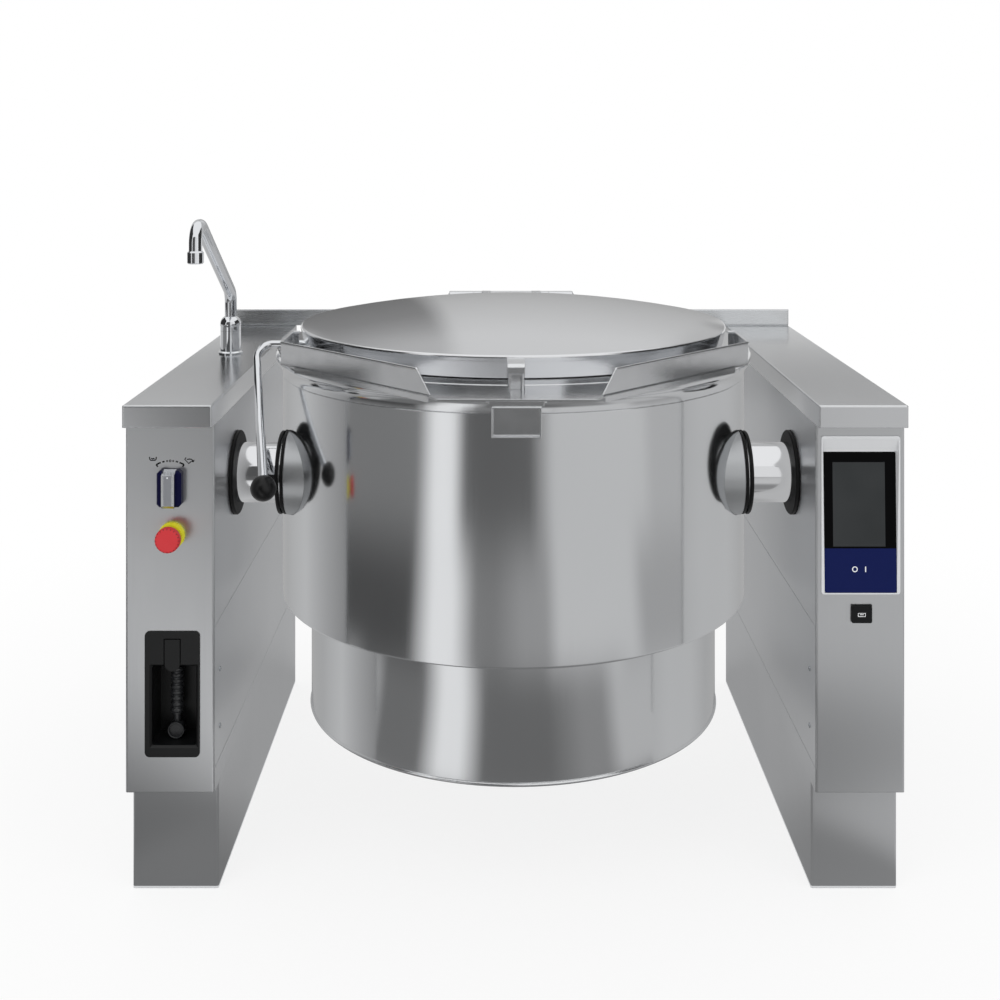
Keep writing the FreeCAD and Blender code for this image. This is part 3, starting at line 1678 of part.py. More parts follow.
def main():
    save("column_casing_left", casing_left())
    save("column_casing_right", casing_right())
    save("column_cap_left", cap_left())
    save("column_cap_right", column_cap())
    paired = {
        "inner_panel_upper": inner_panel_upper,
        "inner_panel_lower": inner_panel_lower,
        "plinth": plinth,
        "column_frame": column_frame,
        "trunnion_bearing": trunnion_bearing,
        "splash_guard": splash_guard,
    }
    for name, make in paired.items():
        shape = make()
        save(f"{name}_right", shape)
        save(f"{name}_left", left_of(shape))
    seal = column_seal()
    save("column_seals", Part.makeCompound([seal, left_of(seal)]))
    save("rear_rail", rear_rail())
    save("panel_screws", panel_screws())
    save("tilt_gearbox", tilt_gearbox())
    save("tilt_motor", tilt_motor())
    save("recess_housing", recess_housing())
    save("spray_gun", spray_gun())
    save("contact_blocks", contact_blocks())
    save("tilt_knob", tilt_knob())
    save("knob_grip", knob_grip())
    save("stop_collar", stop_collar())
    save("stop_stem", stop_stem())
    save("stop_head", stop_head())
    save("tap_body", tap_body())
    save("tap_spout", tap_spout())
    save("tap_aerator", tap_aerator())
    save("water_valve", water_valve())
    save("water_inlets", water_inlets())
    save("display_bezel", display_bezel())
    save("display_glass", display_glass())
    save("port_socket", port_socket())
    save("port_cover", port_cover())
    save("control_box", control_box())
    save("cable_gland", cable_gland())
    save("inner_pan", inner_pan())
    save("heating_jacket", heating_jacket())
    save("heating_elements", heating_elements())
    save("drum_cladding", drum_cladding())
    save("lower_skirt", lower_skirt())
    save("rim_collar", rim_collar())
    save("pouring_rim", pouring_rim())
    save("lip_bracket", lip_bracket())
    save("catch_post", catch_post())
    save("trunnion_left", trunnion_left())
    save("trunnion_right", trunnion_right())
    save("vessel_discs", vessel_discs())
    save("hinge_housing", hinge_housing())
    save("hinge_pin", hinge_pin())
    save("lid_shell", lid_shell())
    save("lid_seal", lid_seal())
    save("lid_hinge_arms", lid_hinge_arms())
    save("lid_lever", lid_lever())
    save("lever_knob", lever_knob())
    save("lid_catch", lid_catch())


main()
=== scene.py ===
import math

import bpy
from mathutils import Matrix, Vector


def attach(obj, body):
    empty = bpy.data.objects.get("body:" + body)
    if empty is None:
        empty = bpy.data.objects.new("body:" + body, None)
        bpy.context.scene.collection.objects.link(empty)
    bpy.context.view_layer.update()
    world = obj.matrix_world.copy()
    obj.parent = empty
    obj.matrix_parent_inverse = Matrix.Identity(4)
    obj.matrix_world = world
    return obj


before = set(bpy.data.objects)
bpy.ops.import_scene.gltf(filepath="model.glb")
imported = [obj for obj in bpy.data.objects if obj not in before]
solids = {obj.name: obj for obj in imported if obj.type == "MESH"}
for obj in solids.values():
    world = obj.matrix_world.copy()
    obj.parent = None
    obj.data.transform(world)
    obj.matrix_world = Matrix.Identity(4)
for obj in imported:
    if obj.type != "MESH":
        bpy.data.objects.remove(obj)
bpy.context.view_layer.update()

# Looks of a tilting boiling pan: finishes for every solid, printed marks, small trim and a studio.
# Lengths in the tables are in millimetres; Blender's own are in metres.

mm = 0.001

# Sizes shared with the solids
inner_x = 540.0
panel_y = -376.0
boss_face_x = 438.4
knob_x = -618.0
knob_z = 749.0
knob_face_y = -404.3
stop_x = -616.0
stop_z = 663.0
stop_front_y = -416.3
stop_rim_radius = 20.6
glass_foot = (-378.0, 559.0)
glass_rise = 251.5
glass_setback = 9.0
port_mark_place = (622.0, -379.3, 520.0)
screw_heights = (300.0, 404.0)
screw_ways = (-329.0, 553.0)
screw_face_x = inner_x - 1.8

# Sizes of the marks and the trim
screen_left, screen_right = 571.7, 665.6
screen_foot, screen_head = 641.5, 791.7
band_head = 638.0
switch_marks_z = 601.0
inlay_size = (13.6, 0.5, 53.0)
dot_z = 772.0
notch_count = 20
notch_size = (1.5, 3.2, 1.5)


def linear(hex_colour):
    """An sRGB colour such as #c8cacc as linear red, green and blue, with full alpha."""
    parts = [int(hex_colour[i:i + 2], 16) / 255 for i in (1, 3, 5)]
    return [p / 12.92 if p <= 0.04045 else ((p + 0.055) / 1.055) ** 2.4 for p in parts] + [1.0]


# Finishes

def wire(material, node, links):
    """Wires outputs of other nodes into a node's sockets."""
    for socket, source in links.items():
        material.node_tree.links.new(source, node.inputs[socket])


def add(material, kind, values=None, links=None, **settings):
    """Adds one node with its settings, its socket values and the wires into it."""
    node = material.node_tree.nodes.new(kind)
    for name, value in settings.items():
        setattr(node, name, value)
    for socket, value in (values or {}).items():
        node.inputs[socket].default_value = value
    wire(material, node, links or {})
    return node


def finish(name, **values):
    """A new finish with one Principled shader. Whatever is even all over is set on the shader itself."""
    material = bpy.data.materials.new(name)
    material.use_nodes = True
    shader = material.node_tree.nodes["Principled BSDF"]
    for socket, value in values.items():
        shader.inputs[socket.replace("_", " ")].default_value = value
    return material, shader


fold_radius = 2.6
belt_up = (0, 0.02, 1)
belt_back = (0, 1, 0.02)
belt_across = (1, 0, 0.02)


def ground_steel(name, grain, rough, tones, depth, belt=belt_up, stretch=0.0):
    """Stainless sheet from a grinding belt or mop. The grain is the size of its lines in millimetres.

    A belt runs one way, and its lines stretch reflections across it. Its direction leans a little, so
    that no face lies square to it. A faint cloudiness keeps large faces from looking flat, and a small
    radius on folds and cut edges catches a thin line of light.
    """
    material, shader = finish(name, Metallic=1.0, Anisotropic=stretch)
    place = add(material, "ShaderNodeTexCoord")
    face = add(material, "ShaderNodeNewGeometry")
    spread = add(material, "ShaderNodeVectorMath", {0: belt}, {1: face.outputs["Normal"]},
                 operation="CROSS_PRODUCT")
    along = add(material, "ShaderNodeMapping", {"Scale": [1000 / g for g in grain]},
                {"Vector": place.outputs["Object"]})
    lines = add(material, "ShaderNodeTexNoise", {"Scale": 1.0, "Detail": 3.0},
                {"Vector": along.outputs["Vector"]})
    cloud = add(material, "ShaderNodeTexNoise", {"Scale": 3.5, "Detail": 2.0},
                {"Vector": place.outputs["Object"]})
    tone = add(material, "ShaderNodeMix", {"A": linear(tones[0]), "B": linear(tones[1])},
               {"Factor": cloud.outputs["Fac"]}, data_type="RGBA")
    gloss = add(material, "ShaderNodeMapRange",
                {"From Min": 0.25, "From Max": 0.75, "To Min": rough[0], "To Max": rough[1]},
                {"Value": lines.outputs["Fac"]})
    fold = add(material, "ShaderNodeBevel", {"Radius": fold_radius * mm}, samples=4)
    relief = add(material, "ShaderNodeBump", {"Distance": depth * mm},
                 {"Height": lines.outputs["Fac"], "Normal": fold.outputs["Normal"]})
    wire(material, shader, {"Base Color": tone.outputs["Result"], "Roughness": gloss.outputs["Result"],
                            "Normal": relief.outputs["Normal"], "Tangent": spread.outputs["Vector"]})
    return material


# Ground with a 240 grit belt, which gives a soft satin without a clear mirror image. Its lines run up
# the columns, along the caps and across the rail, and are drawn 0.9 mm apart so that they show.
column_steel = ground_steel("satin_stainless_upright", (0.9, 0.9, 120), (0.28, 0.33),
                            ("#d2d4d6", "#dbdcde"), 0.002, belt_up, 0.8)
cap_steel = ground_steel("satin_stainless_lengthwise", (0.9, 120, 0.9), (0.16, 0.20),
                         ("#d8dadc", "#e0e1e3"), 0.002, belt_back, 0.7)
rail_steel = ground_steel("satin_stainless_crosswise", (120, 0.9, 0.9), (0.24, 0.30),
                          ("#d4d6d8", "#dcdee0"), 0.002, belt_across, 0.7)
# Rolled from bright annealed sheet and mopped up its height: close to a mirror, slightly soft.
drum_steel = ground_steel("bright_rolled_stainless", (1.4, 1.4, 200), (0.10, 0.14),
                          ("#dcdee0", "#e3e4e6"), 0.001)
# Pressed and mopped round and round, so reflections blur evenly and the swirls show only as a haze.
lid_steel = ground_steel("mopped_stainless_pressing", (3.0, 3.0, 3.0), (0.11, 0.14),
                         ("#dddee0", "#e4e5e7"), 0.001)
# Thick sheet, ground flat along its edges and mopped: slightly softer than the drum.
rim_steel = ground_steel("ground_stainless_edge", (20, 20, 20), (0.18, 0.22),
                         ("#dddfe1", "#e5e6e8"), 0.001)
# The inside of the pan is ground by hand in all directions, which leaves it matt.
pan_steel = ground_steel("ground_stainless_bowl", (1.2, 1.2, 1.2), (0.22, 0.30),
                         ("#d2d4d6", "#dadcde"), 0.003)
# Pickled after welding: dull, pale and blotchy.
frame_steel = ground_steel("pickled_stainless_tube", (8.0, 8.0, 8.0), (0.42, 0.56),
                           ("#a0a3a6", "#b4b7ba"), 0.01)


def buffed(name, tone, rough):
    """Metal buffed to a mirror, with a faint haze where it has been wiped."""
    material, shader = finish(name, Metallic=1.0, Base_Color=linear(tone))
    place = add(material, "ShaderNodeTexCoord")
    haze = add(material, "ShaderNodeTexNoise", {"Scale": 70.0, "Detail": 4.0},
               {"Vector": place.outputs["Object"]})
    gloss = add(material, "ShaderNodeMapRange",
                {"From Min": 0.3, "From Max": 0.7, "To Min": rough, "To Max": rough + 0.04},
                {"Value": haze.outputs["Fac"]})
    wire(material, shader, {"Roughness": gloss.outputs["Result"]})
    return material


# Chromium over polished brass gives hard, dark-edged reflections.
chrome = buffed("chromium_plated_brass", "#e0e2e5", 0.05)
# Satin bright plating is a little softer.
plated_die_casting = buffed("satin_chromium_die_casting", "#dcdee1", 0.22)
# Turned, plated or annealed parts behind the panels have a plain soft shine.
brass = buffed("turned_brass", "#cba95f", 0.22)
bronze = buffed("turned_bronze", "#aa7d4c", 0.32)
zinc = buffed("zinc_plated_steel", "#bcc0c4", 0.3)
heater_sheath = buffed("annealed_nickel_tube", "#77726d", 0.4)


def turned_tube():
    """Tilt tube turned bright in a lathe; its boss, inside the discs, is pressed and mopped sheet, rougher,
    and painted darker as shade between the discs.
    """
    material, shader = finish("turned_stainless_tube", Metallic=1.0)
    place = add(material, "ShaderNodeTexCoord")
    axis = add(material, "ShaderNodeSeparateXYZ", links={"Vector": place.outputs["Object"]})
    outward = add(material, "ShaderNodeMath", None, {0: axis.outputs["X"]}, operation="ABSOLUTE")
    on_boss = add(material, "ShaderNodeMath", {1: (boss_face_x + 1) * mm}, {0: outward.outputs[0]},
                  operation="LESS_THAN")
    # The tool leaves fine rings, drawn 0.7 mm apart.
    rings = add(material, "ShaderNodeMapping", {"Scale": [1400, 12, 12]},
                {"Vector": place.outputs["Object"]})
    marks = add(material, "ShaderNodeTexNoise", {"Scale": 1.0, "Detail": 2.0},
                {"Vector": rings.outputs["Vector"]})
    bright = add(material, "ShaderNodeMapRange", {"To Min": 0.06, "To Max": 0.10},
                 {"Value": marks.outputs["Fac"]})
    gloss = add(material, "ShaderNodeMix", {"B": 0.36},
                {"Factor": on_boss.outputs[0], "A": bright.outputs["Result"]})
    # The darker colour on the boss is painted shade between the discs; its higher roughness is the mopped
    # finish.
    tone = add(material, "ShaderNodeMix", {"A": linear("#e2e3e5"), "B": linear("#babcbe")},
               {"Factor": on_boss.outputs[0]}, data_type="RGBA")
    wire(material, shader, {"Base Color": tone.outputs["Result"], "Roughness": gloss.outputs["Result"]})
    return material


tube_steel = turned_tube()


def uneven(name, tones, rough, scale, detail, span=(0.0, 1.0), relief=0.0, **values):
    """A finish with one fine pattern, which shifts its colour and its gloss and may raise its skin.

    The scale is how many times the pattern comes in a metre, and the span is the part of it that
    the gloss follows.
    """
    material, shader = finish(name, **values)
    place = add(material, "ShaderNodeTexCoord")
    skin = add(material, "ShaderNodeTexNoise", {"Scale": scale, "Detail": detail},
               {"Vector": place.outputs["Object"]})
    tone = add(material, "ShaderNodeMix", {"A": linear(tones[0]), "B": linear(tones[1])},
               {"Factor": skin.outputs["Fac"]}, data_type="RGBA")
    gloss = add(material, "ShaderNodeMapRange",
                {"From Min": span[0], "From Max": span[1], "To Min": rough[0], "To Max": rough[1]},
                {"Value": skin.outputs["Fac"]})
    wire(material, shader, {"Base Color": tone.outputs["Result"], "Roughness": gloss.outputs["Result"]})
    if relief:
        raised = add(material, "ShaderNodeBump", {"Distance": relief * mm}, {"Height": skin.outputs["Fac"]})
        wire(material, shader, {"Normal": raised.outputs["Normal"]})
    return material


def moulding(name, tones, rough, grain, depth, **values):
    """Moulded plastic or rubber. The mould's eroded grain, in millimetres, breaks up the gloss."""
    return uneven(name, tones, rough, 1000 / grain, 4.0, (0.3, 0.7), depth, **values)


# Carbon-filled rubber drinks in light and has only a weak sheen.
seal_rubber = moulding("black_epdm_rubber", ("#070708", "#0c0c0d"), (0.50, 0.62), 0.8, 0.02,
                       Specular_IOR_Level=0.2)
disc_rubber = moulding("black_nitrile_disc", ("#060607", "#0a0a0b"), (0.42, 0.54), 0.9, 0.02,
                       Specular_IOR_Level=0.25)
lid_rubber = moulding("black_silicone_lip", ("#0c0c0d", "#121213"), (0.45, 0.55), 1.2, 0.02,
                      Specular_IOR_Level=0.25)
spray_rubber = moulding("ribbed_black_rubber", ("#1c1d1f", "#262729"), (0.26, 0.34), 0.9, 0.01,
                        Specular_IOR_Level=0.6)
# Spark-eroded moulding in dyed plastic: a fine matt grain with a soft highlight.
pocket_plastic = moulding("black_eroded_abs", ("#0d0e0f", "#131415"), (0.34, 0.44), 0.7, 0.02,
                          Specular_IOR_Level=0.35)
flap_plastic = moulding("black_satin_abs", ("#131416", "#17181a"), (0.30, 0.38), 0.7, 0.008,
                        Specular_IOR_Level=0.15)
socket_plastic = moulding("black_glass_filled_nylon", ("#0c0d0e", "#121314"), (0.46, 0.58), 0.5, 0.02,
                          Specular_IOR_Level=0.3)
ball_plastic = moulding("black_phenolic_ball", ("#050506", "#08080a"), (0.30, 0.34), 4.0, 0.001,
                        Specular_IOR_Level=0.35)
# Dyed switch plastics from a finer mould: even colour and a soft sheen.
navy_plastic = moulding("navy_abs", ("#04052c", "#060734"), (0.24, 0.32), 0.7, 0.006,
                        Specular_IOR_Level=0.12)
grey_inlay = moulding("mid_grey_abs", ("#77797e", "#7e8085"), (0.36, 0.44), 0.7, 0.006)
red_plastic = moulding("red_abs", ("#c32a30", "#cd3238"), (0.34, 0.42), 0.7, 0.006,
                       Specular_IOR_Level=0.35)
# The stop button's red, made darker for the grip notches: painted shade in the notches.
notch_plastic = moulding("red_abs_painted_notch_shade", ("#6f1419", "#7d191e"), (0.45, 0.55), 0.7, 0.006)
yellow_plastic = moulding("yellow_abs", ("#d5d022", "#e0db2c"), (0.34, 0.42), 0.7, 0.006,
                          Specular_IOR_Level=0.35)
contact_plastic = moulding("grey_polyamide", ("#505458", "#5d6165"), (0.42, 0.52), 0.6, 0.02)
gland_plastic = moulding("light_grey_polyamide", ("#8c9296", "#9aa0a4"), (0.42, 0.52), 0.6, 0.02)


def enamelled(name, tones):
    """Enamel sprayed on a casting or a box: orange peel about 2.4 mm wide over the skin below."""
    return uneven(name, tones, (0.35, 0.5), 420.0, 2.0, relief=0.1, Coat_Weight=0.25, Coat_Roughness=0.2)


gearbox_enamel = enamelled("grey_enamelled_casting", ("#6c7379", "#7b8288"))
motor_enamel = enamelled("dark_grey_enamelled_casting", ("#383d42", "#43484d"))
box_enamel = enamelled("powder_coated_sheet", ("#989c9f", "#a4a8ab"))


def printed_glass():
    """Glass printed on its back: black, with a clear window over a grey screen and a navy band below."""
    material, shader = finish("back_printed_glass", Roughness=0.18, Specular_IOR_Level=0.06)
    place = add(material, "ShaderNodeTexCoord")
    axis = add(material, "ShaderNodeSeparateXYZ", links={"Vector": place.outputs["Object"]})
    edges = [add(material, "ShaderNodeMath", {1: at * mm}, {0: axis.outputs[way]}, operation=test)
             for way, at, test in (("X", screen_left, "GREATER_THAN"), ("X", screen_right, "LESS_THAN"),
                                   ("Z", screen_foot, "GREATER_THAN"), ("Z", screen_head, "LESS_THAN"))]
    window = edges[0]
    for edge in edges[1:]:
        window = add(material, "ShaderNodeMath", None, {0: window.outputs[0], 1: edge.outputs[0]},
                     operation="MULTIPLY")
    band = add(material, "ShaderNodeMath", {1: band_head * mm}, {0: axis.outputs["Z"]},
               operation="LESS_THAN")
    cloud = add(material, "ShaderNodeTexNoise", {"Scale": 12.0, "Detail": 1.0},
                {"Vector": place.outputs["Object"]})
    screen = add(material, "ShaderNodeMix", {"A": linear("#2f3132"), "B": linear("#3c3e3f")},
                 {"Factor": cloud.outputs["Fac"]}, data_type="RGBA")
    print_tone = add(material, "ShaderNodeMix", {"A": linear("#030304"), "B": linear("#131c4c")},
                     {"Factor": band.outputs[0]}, data_type="RGBA")
    whole = add(material, "ShaderNodeMix", None,
                {"Factor": window.outputs[0], "A": print_tone.outputs["Result"],
                 "B": screen.outputs["Result"]}, data_type="RGBA")
    wire(material, shader, {"Base Color": whole.outputs["Result"]})
    return material


display_glass = printed_glass()


# Steel frame under a thin silver lacquer with flakes of 0.8 mm: pale in any direction, with a weak glint.
silver_lacquer = uneven("silver_lacquered_steel", ("#d9dbdd", "#e6e7e9"), (0.32, 0.42), 1200.0, 2.0,
                        Metallic=0.3)


def screen_ink(name, tones):
    """Ink pressed through a screen and baked: matt, with the weave's slight unevenness, 1.1 mm wide."""
    return uneven(name, tones, (0.4, 0.55), 900.0, 2.0, Specular_IOR_Level=0.12)


# The black ink also covers the hexagons on the panel screws, which are painted shade in place of recessed
# sockets.
black_ink = screen_ink("black_screen_ink_and_socket_shade", ("#040405", "#0a0a0b"))
white_ink = screen_ink("white_screen_ink", ("#e9ebee", "#f3f4f6"))

finishes = {
    column_steel: ("column_casing_left", "column_casing_right", "inner_panel_upper_left",
                   "inner_panel_upper_right", "inner_panel_lower_left", "inner_panel_lower_right",
                   "plinth_left", "plinth_right"),
    cap_steel: ("column_cap_left", "column_cap_right"),
    rail_steel: ("rear_rail",),
    drum_steel: ("drum_cladding", "lower_skirt", "rim_collar"),
    lid_steel: ("lid_shell",),
    rim_steel: ("pouring_rim", "splash_guard_left", "splash_guard_right", "lip_bracket",
                "catch_post", "lid_catch", "lid_hinge_arms", "hinge_housing", "hinge_pin"),
    pan_steel: ("inner_pan", "heating_jacket"),
    frame_steel: ("column_frame_left", "column_frame_right"),
    chrome: ("tap_body", "tap_spout", "tap_aerator", "lid_lever"),
    tube_steel: ("trunnion_left", "trunnion_right"),
    plated_die_casting: ("knob_grip",),
    silver_lacquer: ("display_bezel",),
    brass: ("water_valve", "water_inlets"),
    bronze: ("trunnion_bearing_left", "trunnion_bearing_right"),
    zinc: ("panel_screws", "stop_stem"),
    heater_sheath: ("heating_elements",),
    seal_rubber: ("column_seals",),
    disc_rubber: ("vessel_discs",),
    lid_rubber: ("lid_seal",),
    pocket_plastic: ("recess_housing",),
    flap_plastic: ("port_cover",),
    spray_rubber: ("spray_gun",),
    ball_plastic: ("lever_knob",),
    socket_plastic: ("port_socket",),
    navy_plastic: ("tilt_knob",),
    red_plastic: ("stop_head",),
    yellow_plastic: ("stop_collar",),
    contact_plastic: ("contact_blocks",),
    gland_plastic: ("cable_gland",),
    gearbox_enamel: ("tilt_gearbox",),
    motor_enamel: ("tilt_motor",),
    box_enamel: ("control_box",),
    display_glass: ("display_glass",),
}
for material, names in finishes.items():
    for name in names:
        solids[name].data.materials.clear()
        solids[name].data.materials.append(material)


# Pieces

def only(piece):
    """Selects one object and nothing else."""
    bpy.ops.object.select_all(action="DESELECT")
    piece.select_set(True)
    bpy.context.view_layer.objects.active = piece


def placed(piece, name, material, body):
    """Settles a finished piece: its place goes into its mesh, and it rides on its body."""
    only(piece)
    bpy.ops.object.transform_apply(location=True, rotation=True, scale=True)
    piece.name = name
    piece.data.name = name
    piece.data.materials.clear()
    piece.data.materials.append(material)
    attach(piece, body)
    return piece


def copied(piece):
    """A copy of a piece, with a mesh of its own."""
    copy = piece.copy()
    copy.data = piece.data.copy()
    bpy.context.scene.collection.objects.link(copy)
    return copy


def joined(pieces):
    """Joins pieces into the first of them."""
    only(pieces[0])
    for piece in pieces:
        piece.select_set(True)
    bpy.ops.object.join()
    return bpy.context.object


def softened_box(place, size, edge, turn=0.0):
    """A small box with softened edges, turned about its crosswise line."""
    bpy.ops.object.select_all(action="DESELECT")
    bpy.ops.mesh.primitive_cube_add(size=1, location=Vector(place) * mm)
    piece = bpy.context.object
    piece.scale = Vector(size) * mm
    piece.rotation_euler = (math.radians(turn), 0, 0)
    bpy.ops.object.transform_apply(location=False, rotation=True, scale=True)
    bpy.ops.object.mode_set(mode="EDIT")
    bpy.ops.mesh.select_all(action="SELECT")
    bpy.ops.mesh.bevel(offset=edge * mm, segments=2)
    bpy.ops.object.mode_set(mode="OBJECT")
    return piece


def raised_disc(vertices, radius, place, turn, rise, taper):
    """A small disc or hexagon, raised off a face and tapered to its front."""
    bpy.ops.object.select_all(action="DESELECT")
    bpy.ops.mesh.primitive_circle_add(vertices=vertices, radius=radius * mm, fill_type="NGON",
                                      location=Vector(place) * mm, rotation=[math.radians(t) for t in turn])
    bpy.ops.object.mode_set(mode="EDIT")
    bpy.ops.mesh.select_all(action="SELECT")
    bpy.ops.mesh.extrude_region_move(TRANSFORM_OT_translate={"value": Vector(rise) * mm})
    bpy.ops.transform.resize(value=taper)
    bpy.ops.mesh.select_all(action="SELECT")
    bpy.ops.mesh.normals_make_consistent(inside=False)
    bpy.ops.object.mode_set(mode="OBJECT")
    return bpy.context.object


def printed(name, strokes, width, place, material, body, lean=0.0, proud=0.25):
    """Strokes of ink on an upright face, which may lean back. Strokes are across and up from the place."""
    curve = bpy.data.curves.new(name, "CURVE")
    curve.dimensions = "3D"
    curve.bevel_depth = width / 2 * mm
    curve.bevel_resolution = 2
    curve.use_fill_caps = True
    for stroke in strokes:
        line = curve.splines.new("POLY")
        line.points.add(len(stroke) - 1)
        for point, (across, up) in zip(line.points, stroke):
            point.co = (across * mm, up * mm, 0, 1)
    piece = bpy.data.objects.new(name, curve)
    bpy.context.scene.collection.objects.link(piece)
    only(piece)
    bpy.ops.object.convert(target="MESH")
    piece = bpy.context.object
    piece.scale = (1, 1, 2 * proud / width)
    piece.rotation_euler = (math.radians(90 - lean), 0, 0)
    piece.location = Vector(place) * mm
    return placed(piece, name, material, body)


def arc(radius, start, end, steps=8, centre=(0, 0)):
    """Points on an arc, in degrees from across, counter-clockwise."""
    turns = [math.radians(start + (end - start) * i / steps) for i in range(steps + 1)]
    return [(centre[0] + radius * math.cos(t), centre[1] + radius * math.sin(t)) for t in turns]


# Tilt scale above the knob: a dashed arc with a ring at its top and a hook at each end
scale_radius = 49.3
scale_centre = (-619.6, panel_y, 746.3)
dashes = ((30.5, 20.0), (16.6, 11.8), (8.0, 4.8))
half_scale = [arc(scale_radius, 90 - start, 90 - end, 4) for start, end in dashes]
end_across, end_up = half_scale[0][0]
half_scale.append([(end_across, end_up), (end_across - 2.9, end_up - 3.8)])
scale = half_scale + [[(-across, up) for across, up in stroke] for stroke in half_scale]
printed("tilt_scale", scale, 2.8, scale_centre, black_ink, "base")
ring = [arc(1.7, 0, 360, 16, (0, scale_radius))]
printed("tilt_scale_ring", ring, 1.3, scale_centre, black_ink, "base")

# Picture of an upright pan on the left of the scale, and of a pouring one on the right
bowl = [(-6.2, 3.1), (-5.6, -1.0), (-4.0, -3.0), (4.0, -3.0), (5.6, -1.0), (6.2, 3.1)]
ripple = [(-3.2 + 0.8 * i, -0.1 + 0.5 * math.sin(i * 1.5)) for i in range(9)]
printed("upright_pan_mark", [bowl, ripple], 2.1, (-650.6, panel_y, 799.6), black_ink, "base")
tipped_bowl = [(-4.7, 5.4), (-7.2, 2.3), (0, -5.4), (4.1, -1.8)]
stream = [(-3.4, 1.9), (1.4, 2.8), (5.2, 2.0), (8.2, -1.6)]
arrow_head = [(4.9, -1.4), (8.4, -2.3), (9.6, 1.2)]
printed("pouring_pan_mark", [tipped_bowl, stream, arrow_head], 2.0, (-586.2, panel_y, 796.2), black_ink,
        "base")

# Off and on marks on the navy band of the glass
lean_share = glass_setback / glass_rise
glass_lean = math.degrees(math.atan(lean_share))


def on_glass(x, z):
    """A place on the front of the leaning glass."""
    return (x, glass_foot[0] + (z - glass_foot[1]) * lean_share, z)


off_place = on_glass(610.3, switch_marks_z)
on_place = on_glass(629.5, switch_marks_z)
printed("off_mark", [arc(4.3, 0, 360, 20)], 1.8, off_place, white_ink, "base", glass_lean)
printed("on_mark", [[(0, -4.9), (0, 4.9)]], 2.0, on_place, white_ink, "base", glass_lean)

# A plain socket drawn on the flap of the data port
mouth = [(-6.4, -2.9), (6.4, -2.9), (6.4, 2.9), (-6.4, 2.9), (-6.4, -2.9)]
tongue = [(-3.4, 0.4), (3.4, 0.4)]
printed("port_mark", [mouth, tongue], 1.3, port_mark_place, white_ink, "flap")


# Grey inlay pressed into the knob's bar, and the white pointer dot near its top
inlay = softened_box((knob_x, knob_face_y, knob_z - 0.5), inlay_size, 0.2)
placed(inlay, "knob_inlay", grey_inlay, "knob")
dot = raised_disc(20, 1.3, (knob_x, knob_face_y - inlay_size[1] / 2, dot_z), (90, 0, 0), (0, -0.2, 0),
                  (0.8, 1, 0.8))
placed(dot, "knob_dot", white_ink, "knob")


def stop_notches():
    """Grip notches round the rim of the stop button, in a darker red that paints their shade: one is
    modelled and then copied round.
    """
    first = softened_box((stop_x, stop_front_y + 2.2, stop_z + stop_rim_radius), notch_size, 0.5, 48)
    only(first)
    bpy.ops.object.transform_apply(location=True, rotation=False, scale=False)
    notches = [first]
    for i in range(1, notch_count):
        notch = copied(first)
        only(notch)
        bpy.ops.transform.rotate(value=math.radians(360 / notch_count * i), orient_axis="Y",
                                 center_override=(stop_x * mm, stop_front_y * mm, stop_z * mm))
        notches.append(notch)
    placed(joined(notches), "stop_notches", notch_plastic, "stop_button")


def screw_sockets():
    """Black hexagons on the panel screws, painted shade where their sockets would be: one is modelled, and
    the rest are copies of it.
    """
    first = raised_disc(6, 1.5, (screw_face_x, screw_ways[0], screw_heights[0]), (0, -90, 0), (-0.15, 0, 0),
                        (1, 0.86, 0.86))
    only(first)
    bpy.ops.object.transform_apply(location=True, rotation=True, scale=True)
    places = [(side, y, z) for side in (1, -1) for y in screw_ways for z in screw_heights]
    sockets = [first]
    for side, y, z in places[1:]:
        socket = copied(first)
        socket.location = (0, (y - side * screw_ways[0]) * mm, (z - screw_heights[0]) * mm)
        if side < 0:
            socket.rotation_euler = (0, 0, math.radians(180))
        sockets.append(socket)
    # Black hexagons standing for the screws' sockets: painted shade, not recesses.
    placed(joined(sockets), "screw_sockets", black_ink, "base")


stop_notches()
screw_sockets()


# Studio

